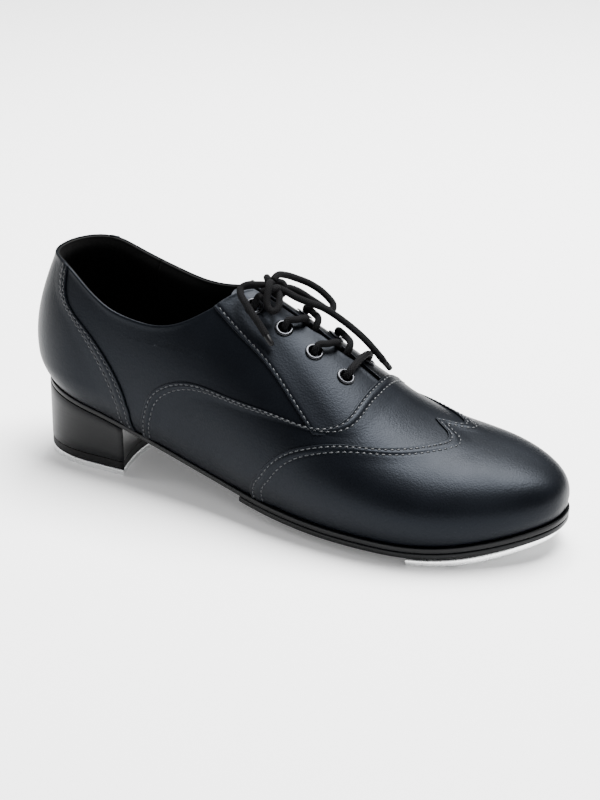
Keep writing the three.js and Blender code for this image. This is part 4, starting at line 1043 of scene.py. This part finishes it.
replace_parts(plate("outsole_leather", below_sole(0), below_sole(2.6), sole_edge_out, sole_leather, roll=.25),
            "outsole")
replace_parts(plate("half_sole_leather", below_sole(2.9), below_sole(5.9), lambda x: sole_edge_out(x) - .15,
                  sole_leather, start=HALF_SOLE_START), "half_sole")


def toe_tap_edge(x):
    """The toe tap keeps a little inside the sole, and more so round the tip of the toe."""
    return sole_edge_out(x) - .4 - 2.6 * smooth((x - 245) / 35)


toe_tap = plate("toe_tap_plate", below_sole(6.2), below_sole(9.8), toe_tap_edge, aluminium, start=TAP_START,
                hollow=14, roll=.7)
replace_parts(drill(toe_tap, countersinks("toe")), "toe_tap")
sock = plate("sock_liner_leather", lambda x: feather(np.clip(x, 0, L)) + 5.1,
             lambda x: feather(np.clip(x, 0, L)) + 3.7, lambda x: inner_edge(x) + .3, pigskin, roll=.3)
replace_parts(sock, "sock_liner")


def heel_ring(edge, front, down):
    """The heel in plan, the feather line moved outwards and cut off by a hollow front, as (x, y) points.
    down is 0 at the heel's top and 1 on the floor."""
    lateral, medial = outline(lambda x: np.full(x.shape, edge), count=300)
    sides = []
    for side in (lateral, medial):
        share = np.interp(front, side[:, 0], np.linspace(0, 1, len(side)))
        at = share * (1 - np.linspace(0, 1, 49)) ** 1.5
        sides.append(np.stack([np.interp(at, np.linspace(0, 1, len(side)), side[:, i]) for i in (0, 1)], -1))
    around = np.concatenate([sides[0], sides[1][-2::-1]])
    across = 1 - 2 * np.arange(1, 32) / 32
    outer, inner = around[0, 1], around[-1, 1]
    hollow = np.stack([front - HEEL_HOLLOW * (1 - across ** 2), lerp(outer, inner, (1 + across) / 2)], -1)
    ring = np.concatenate([around, hollow])
    behind = (front - ring[:, 0]) / (front - ring[:, 0].min())
    draw_in = 1 - SIDE_TAPER * down / ((inner - outer) / 2)
    return np.stack([ring[:, 0] + BACK_TAPER * down * behind, ring[:, 1] * draw_in], -1)


HEEL_TOP = float(below_sole(2.6)(0.0)) + 5


def heel_layer(name, bottom, top, finish, inset, roll):
    """One layer of the heel. top is a height, or None where it meets the sloping sole."""
    # Each rim: how far it is drawn in, and its height as a distance from a share of the whole.
    rims = [(roll, 0, 0), (.3 * roll, .3 * roll, 0), (0, roll, 0)]
    rims += [(0, 0, share) for share in (.2, .4, .6, .8)]
    rims += [(0, -roll, 1), (.3 * roll, -.3 * roll, 1), (roll, 0, 1)]
    points = []
    whole = (HEEL_TOP if top is None else top) - bottom
    for draw, offset, share in rims:
        share = share + offset / whole
        down = 1 - (bottom + share * whole) / HEEL_TOP
        ring = heel_ring(.45 - inset - draw, HEEL_FRONT - inset - draw, down)
        lid = np.full(len(ring), top) if top is not None else below_sole(2.9)(ring[:, 0])
        points.append(np.concatenate([ring, (bottom + share * (lid - bottom))[:, None]], -1))
    count = len(ring)
    faces = [list(range(count))[::-1], list(range((len(rims) - 1) * count, len(rims) * count))]
    steps = np.arange(count)
    for k in range(len(rims) - 1):
        a, b = steps + k * count, steps + (k + 1) * count
        faces += np.stack([a, np.roll(a, -1), np.roll(b, -1), b], -1).tolist()
    return make_piece(name, np.concatenate(points), faces, finish)


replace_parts(heel_layer("heel_block_leather", 8.2, None, sole_leather, 0, .25), "heel_block")
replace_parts(heel_layer("top_lift_rubber", 3.7, 7.9, rubber, .1, .25), "top_lift")
heel_tap = heel_layer("heel_tap_plate", 0, 3.4, aluminium, .3, .5)
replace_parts(drill(heel_tap, countersinks("heel")), "heel_tap")

for name, point, way, length in screw_seats():
    profile = [(0, .75), (1.2, .7), (3.0, .45), (3.4, .6), (3.35, .8), (1.6, 2.4), (1.6, length - 1.5), (0, length)]
    head = turned(name + "_head", profile, point, way, steel, segments=32)
    slots = []
    # Two crossed slots, cut into the head.
    for turn in (0.3, 0.3 + math.pi / 2):
        a = np.cross(way, (math.cos(turn), math.sin(turn), 0))
        a /= np.linalg.norm(a)
        b = np.cross(way, a)
        corners = [point + u * 2.1 * a + v * .45 * b + w * way for w in (-1, 1.5) for u, v in
                   ((-1, -1), (1, -1), (1, 1), (-1, 1))]
        walls = [(3, 2, 1, 0), (4, 5, 6, 7), (0, 1, 5, 4), (1, 2, 6, 5), (2, 3, 7, 6), (3, 0, 4, 7)]
        slots.append(make_piece("slot", corners, walls, steel, flat=True))
    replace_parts(drill(head, slots), name)

for name, finish in (("insole_board", fibre_board), ("forefoot_filler", cork), ("heel_counter", buckram),
                     ("toe_puff", buckram), ("shank", steel), ("heel_nail", steel)):
    nodes[name].data.materials.clear()
    nodes[name].data.materials.append(finish)

# ---- lace ----------------------------------------------------------------------------------------------
LACE = 1.7                                                 # radius of the round lace
OVER = .3 + .5 + .3 + LACE                                 # height of a strand over the eyelets' flanges
UNDER = -FLAP_DEPTH - .42 - LACE
LAST = len(ROWS) - 1


def through_eyelet(row, side, upwards):
    steps = [(UNDER, 0), (UNDER * .45, 0), (OVER * .6, .5), (OVER + .5, 2.2)]
    return [flap_point(ROWS[row], side * (EYELETS_OUT[row] - lean), h)
            for h, lean in (steps if upwards else steps[::-1])]


def crossing(row, side):
    """Up through the slit from under one flap, and over the other flap's edge down into its eyelet."""
    end, start = ROWS[row], ROWS[row + 1]
    rise = (start + end) / 2 + side * 2.3
    out = EYELETS_OUT[row]
    return [flap_point(lerp(rise, start, .7), -side * .75 * out, UNDER),
            flap_point(lerp(rise, start, .2), -side * .3 * out, UNDER - .5),
            flap_point(rise, -SLIT_SIDE, -FLAP_DEPTH - .2),
            flap_point(rise, side * .15 - SLIT_SIDE, .6),
            flap_point(lerp(end, rise, .85), side * .26 * out - .6 * SLIT_SIDE, OVER + 1.1),
            flap_point(lerp(end, rise, .45), side * .62 * out, OVER + .8)] + through_eyelet(row, side, False)


def laced_side(side):
    return [flap_point(ROWS[LAST], 0.0, OVER + 1.2),
            flap_point(ROWS[LAST], side * .6 * EYELETS_OUT[LAST], OVER + 1.0),
            *through_eyelet(LAST, side, False), *crossing(LAST - 1, -side), *crossing(LAST - 2, side),
            flap_point(ROWS[0] + 8.15, side * EYELETS_OUT[0], UNDER), *through_eyelet(0, side, True)]


def tie_end(side):
    return [flap_point(ROWS[0] + .5, side * .75 * EYELETS_OUT[0], OVER + 2.2),
            flap_point(128.0, -3 + side * 6.2, 6.8)]


lacing = tie_end(-1)[::-1] + laced_side(-1)[:0:-1] + laced_side(1) + tie_end(1)
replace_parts(cord_mesh("lacing_cord", cord_path(lacing), LACE, braid), "lacing")

# The bow, with each cord's middle line where it lies.
LOOP_LATERAL = [(131.2, -4.4, 108.0), (131.8, -7.4, 109.8), (132.6, -10.2, 108.8), (133.0, -12.3, 106.0),
                (133.4, -13.9, 102.9), (134.9, -14.8, 100.1), (137.1, -14.6, 98.9), (138.5, -12.9, 99.7),
                (138.2, -10.4, 101.9), (136.6, -7.5, 104.3), (133.6, -4.8, 105.6)]
LOOP_MEDIAL = [(131.0, -3.4, 109.6), (131.6, 1.0, 110.8), (133.6, 6.0, 109.2), (136.4, 10.6, 106.6),
               (140.8, 14.6, 103.6), (145.7, 16.6, 100.4), (150.1, 17.2, 96.9), (153.2, 16.3, 94.2),
               (153.9, 14.2, 92.4), (152.4, 12.0, 93.0), (149.6, 10.0, 95.4), (145.0, 7.6, 99.0),
               (140.6, 5.0, 102.6), (137.2, 1.6, 105.0), (133.4, -2.4, 105.8)]
END_LATERAL = [(130.8, -4.4, 107.0), (127.8, -7.0, 107.9), (125.0, -9.2, 108.2), (122.0, -11.4, 108.4),
               (120.0, -14.2, 107.4), (121.3, -17.2, 105.4), (125.6, -19.4, 101.8), (129.8, -20.8, 97.8),
               (134.0, -21.6, 93.6), (137.6, -22.4, 89.6)]
END_MEDIAL = [(132.6, -3.8, 106.4), (137.1, -2.8, 104.9), (142.7, -1.1, 101.9), (147.8, 2.5, 98.9),
              (151.8, 6.4, 96.2), (155.9, 8.8, 93.3), (161.2, 9.6, 90.2), (167.4, 9.2, 87.0),
              (173.9, 8.4, 83.2), (179.1, 8.2, 78.9), (182.1, 9.5, 74.8), (183.0, 10.2, 73.2)]
TIPS = {"lateral": (140.4, -23.3, 86.9), "medial": (185.2, 11.7, 69.8)}
KNOT = flap_point(128.0, -3.0, 8.0)

turn = np.linspace(0, 2 * math.pi, 121)
trefoil = np.stack([np.sin(turn) + 2 * np.sin(2 * turn), np.cos(turn) - 2 * np.cos(2 * turn), -np.sin(3 * turn)], -1)
trefoil = trefoil * (1.9, 1.9, 2.2)
trefoil = trefoil @ np.array(Matrix.Rotation(.42, 3, "Y")).T + KNOT
knot = cord_mesh("bow_knot", trefoil, LACE, braid, closed=True)
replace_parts(knot, "lace_knot")


def walked(path):
    return float(np.linalg.norm(np.diff(path, axis=0), axis=1).sum())


for name, points in (("lateral", LOOP_LATERAL), ("medial", LOOP_MEDIAL)):
    path = cord_path(points)
    loop = cord_mesh(f"bow_loop_{name}", path, LACE, braid)
    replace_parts(loop, f"lace_loop_{name}")
for name, points in (("lateral", END_LATERAL), ("medial", END_MEDIAL)):
    path = cord_path(points)
    end = cord_mesh(f"bow_end_{name}", path, LACE, braid)
    tip = np.array(TIPS[name], float)
    way = (tip - path[-1]) / np.linalg.norm(tip - path[-1])
    long = float(np.linalg.norm(tip - path[-1])) + LACE
    # The film grips the lace a little, so the tip is slimmer than the cord and ends in a rounded face.
    aglet = turned(f"aglet_{name}", [(0, .1), (1.45, .1), (1.5, .4), (1.42, long * .5), (1.38, long - .8),
                                     (1.15, long - .25), (.7, long), (0, long)], path[-1], way, film, segments=28)
    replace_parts(end, f"lace_end_{name}")
    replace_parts(aglet, f"lace_tip_{name}")

# ---- studio --------------------------------------------------------------------------------------------
floor_mesh = bpy.data.meshes.new("floor")
floor_mesh.from_pydata([(x * 6, y * 6, 0) for x, y in ((-1, -1), (1, -1), (1, 1), (-1, 1))], [], [(0, 1, 2, 3)])
floor_mesh.materials.append(floor_paint)
floor = bpy.data.objects.new("floor", floor_mesh)
bpy.context.scene.collection.objects.link(floor)

world = bpy.data.worlds.new("studio")
world.use_nodes = True
world.node_tree.nodes["Background"].inputs["Color"].default_value = paint("#F7F8FA")
world.node_tree.nodes["Background"].inputs["Strength"].default_value = .25
bpy.context.scene.world = world


def softbox(name, at, size, power, colour="#FFFFFF", aim=(0, 0, .04)):
    light = bpy.data.lights.new(name, "AREA")
    light.shape, light.size, light.size_y = "RECTANGLE", size[0], size[1]
    light.energy, light.color = power, paint(colour)[:3]
    lamp = bpy.data.objects.new(name, light)
    bpy.context.scene.collection.objects.link(lamp)
    lamp.location = at
    lamp.rotation_euler = (Vector(aim) - Vector(at)).to_track_quat("-Z", "Y").to_euler()


softbox("top_softbox", (.1, .5, 1.5), (1.3, 1.0), 150)
softbox("front_softbox", (1.0, -.9, .9), (.5, .9), 3)
softbox("back_softbox", (-1.1, -.2, .9), (.5, .9), 5)
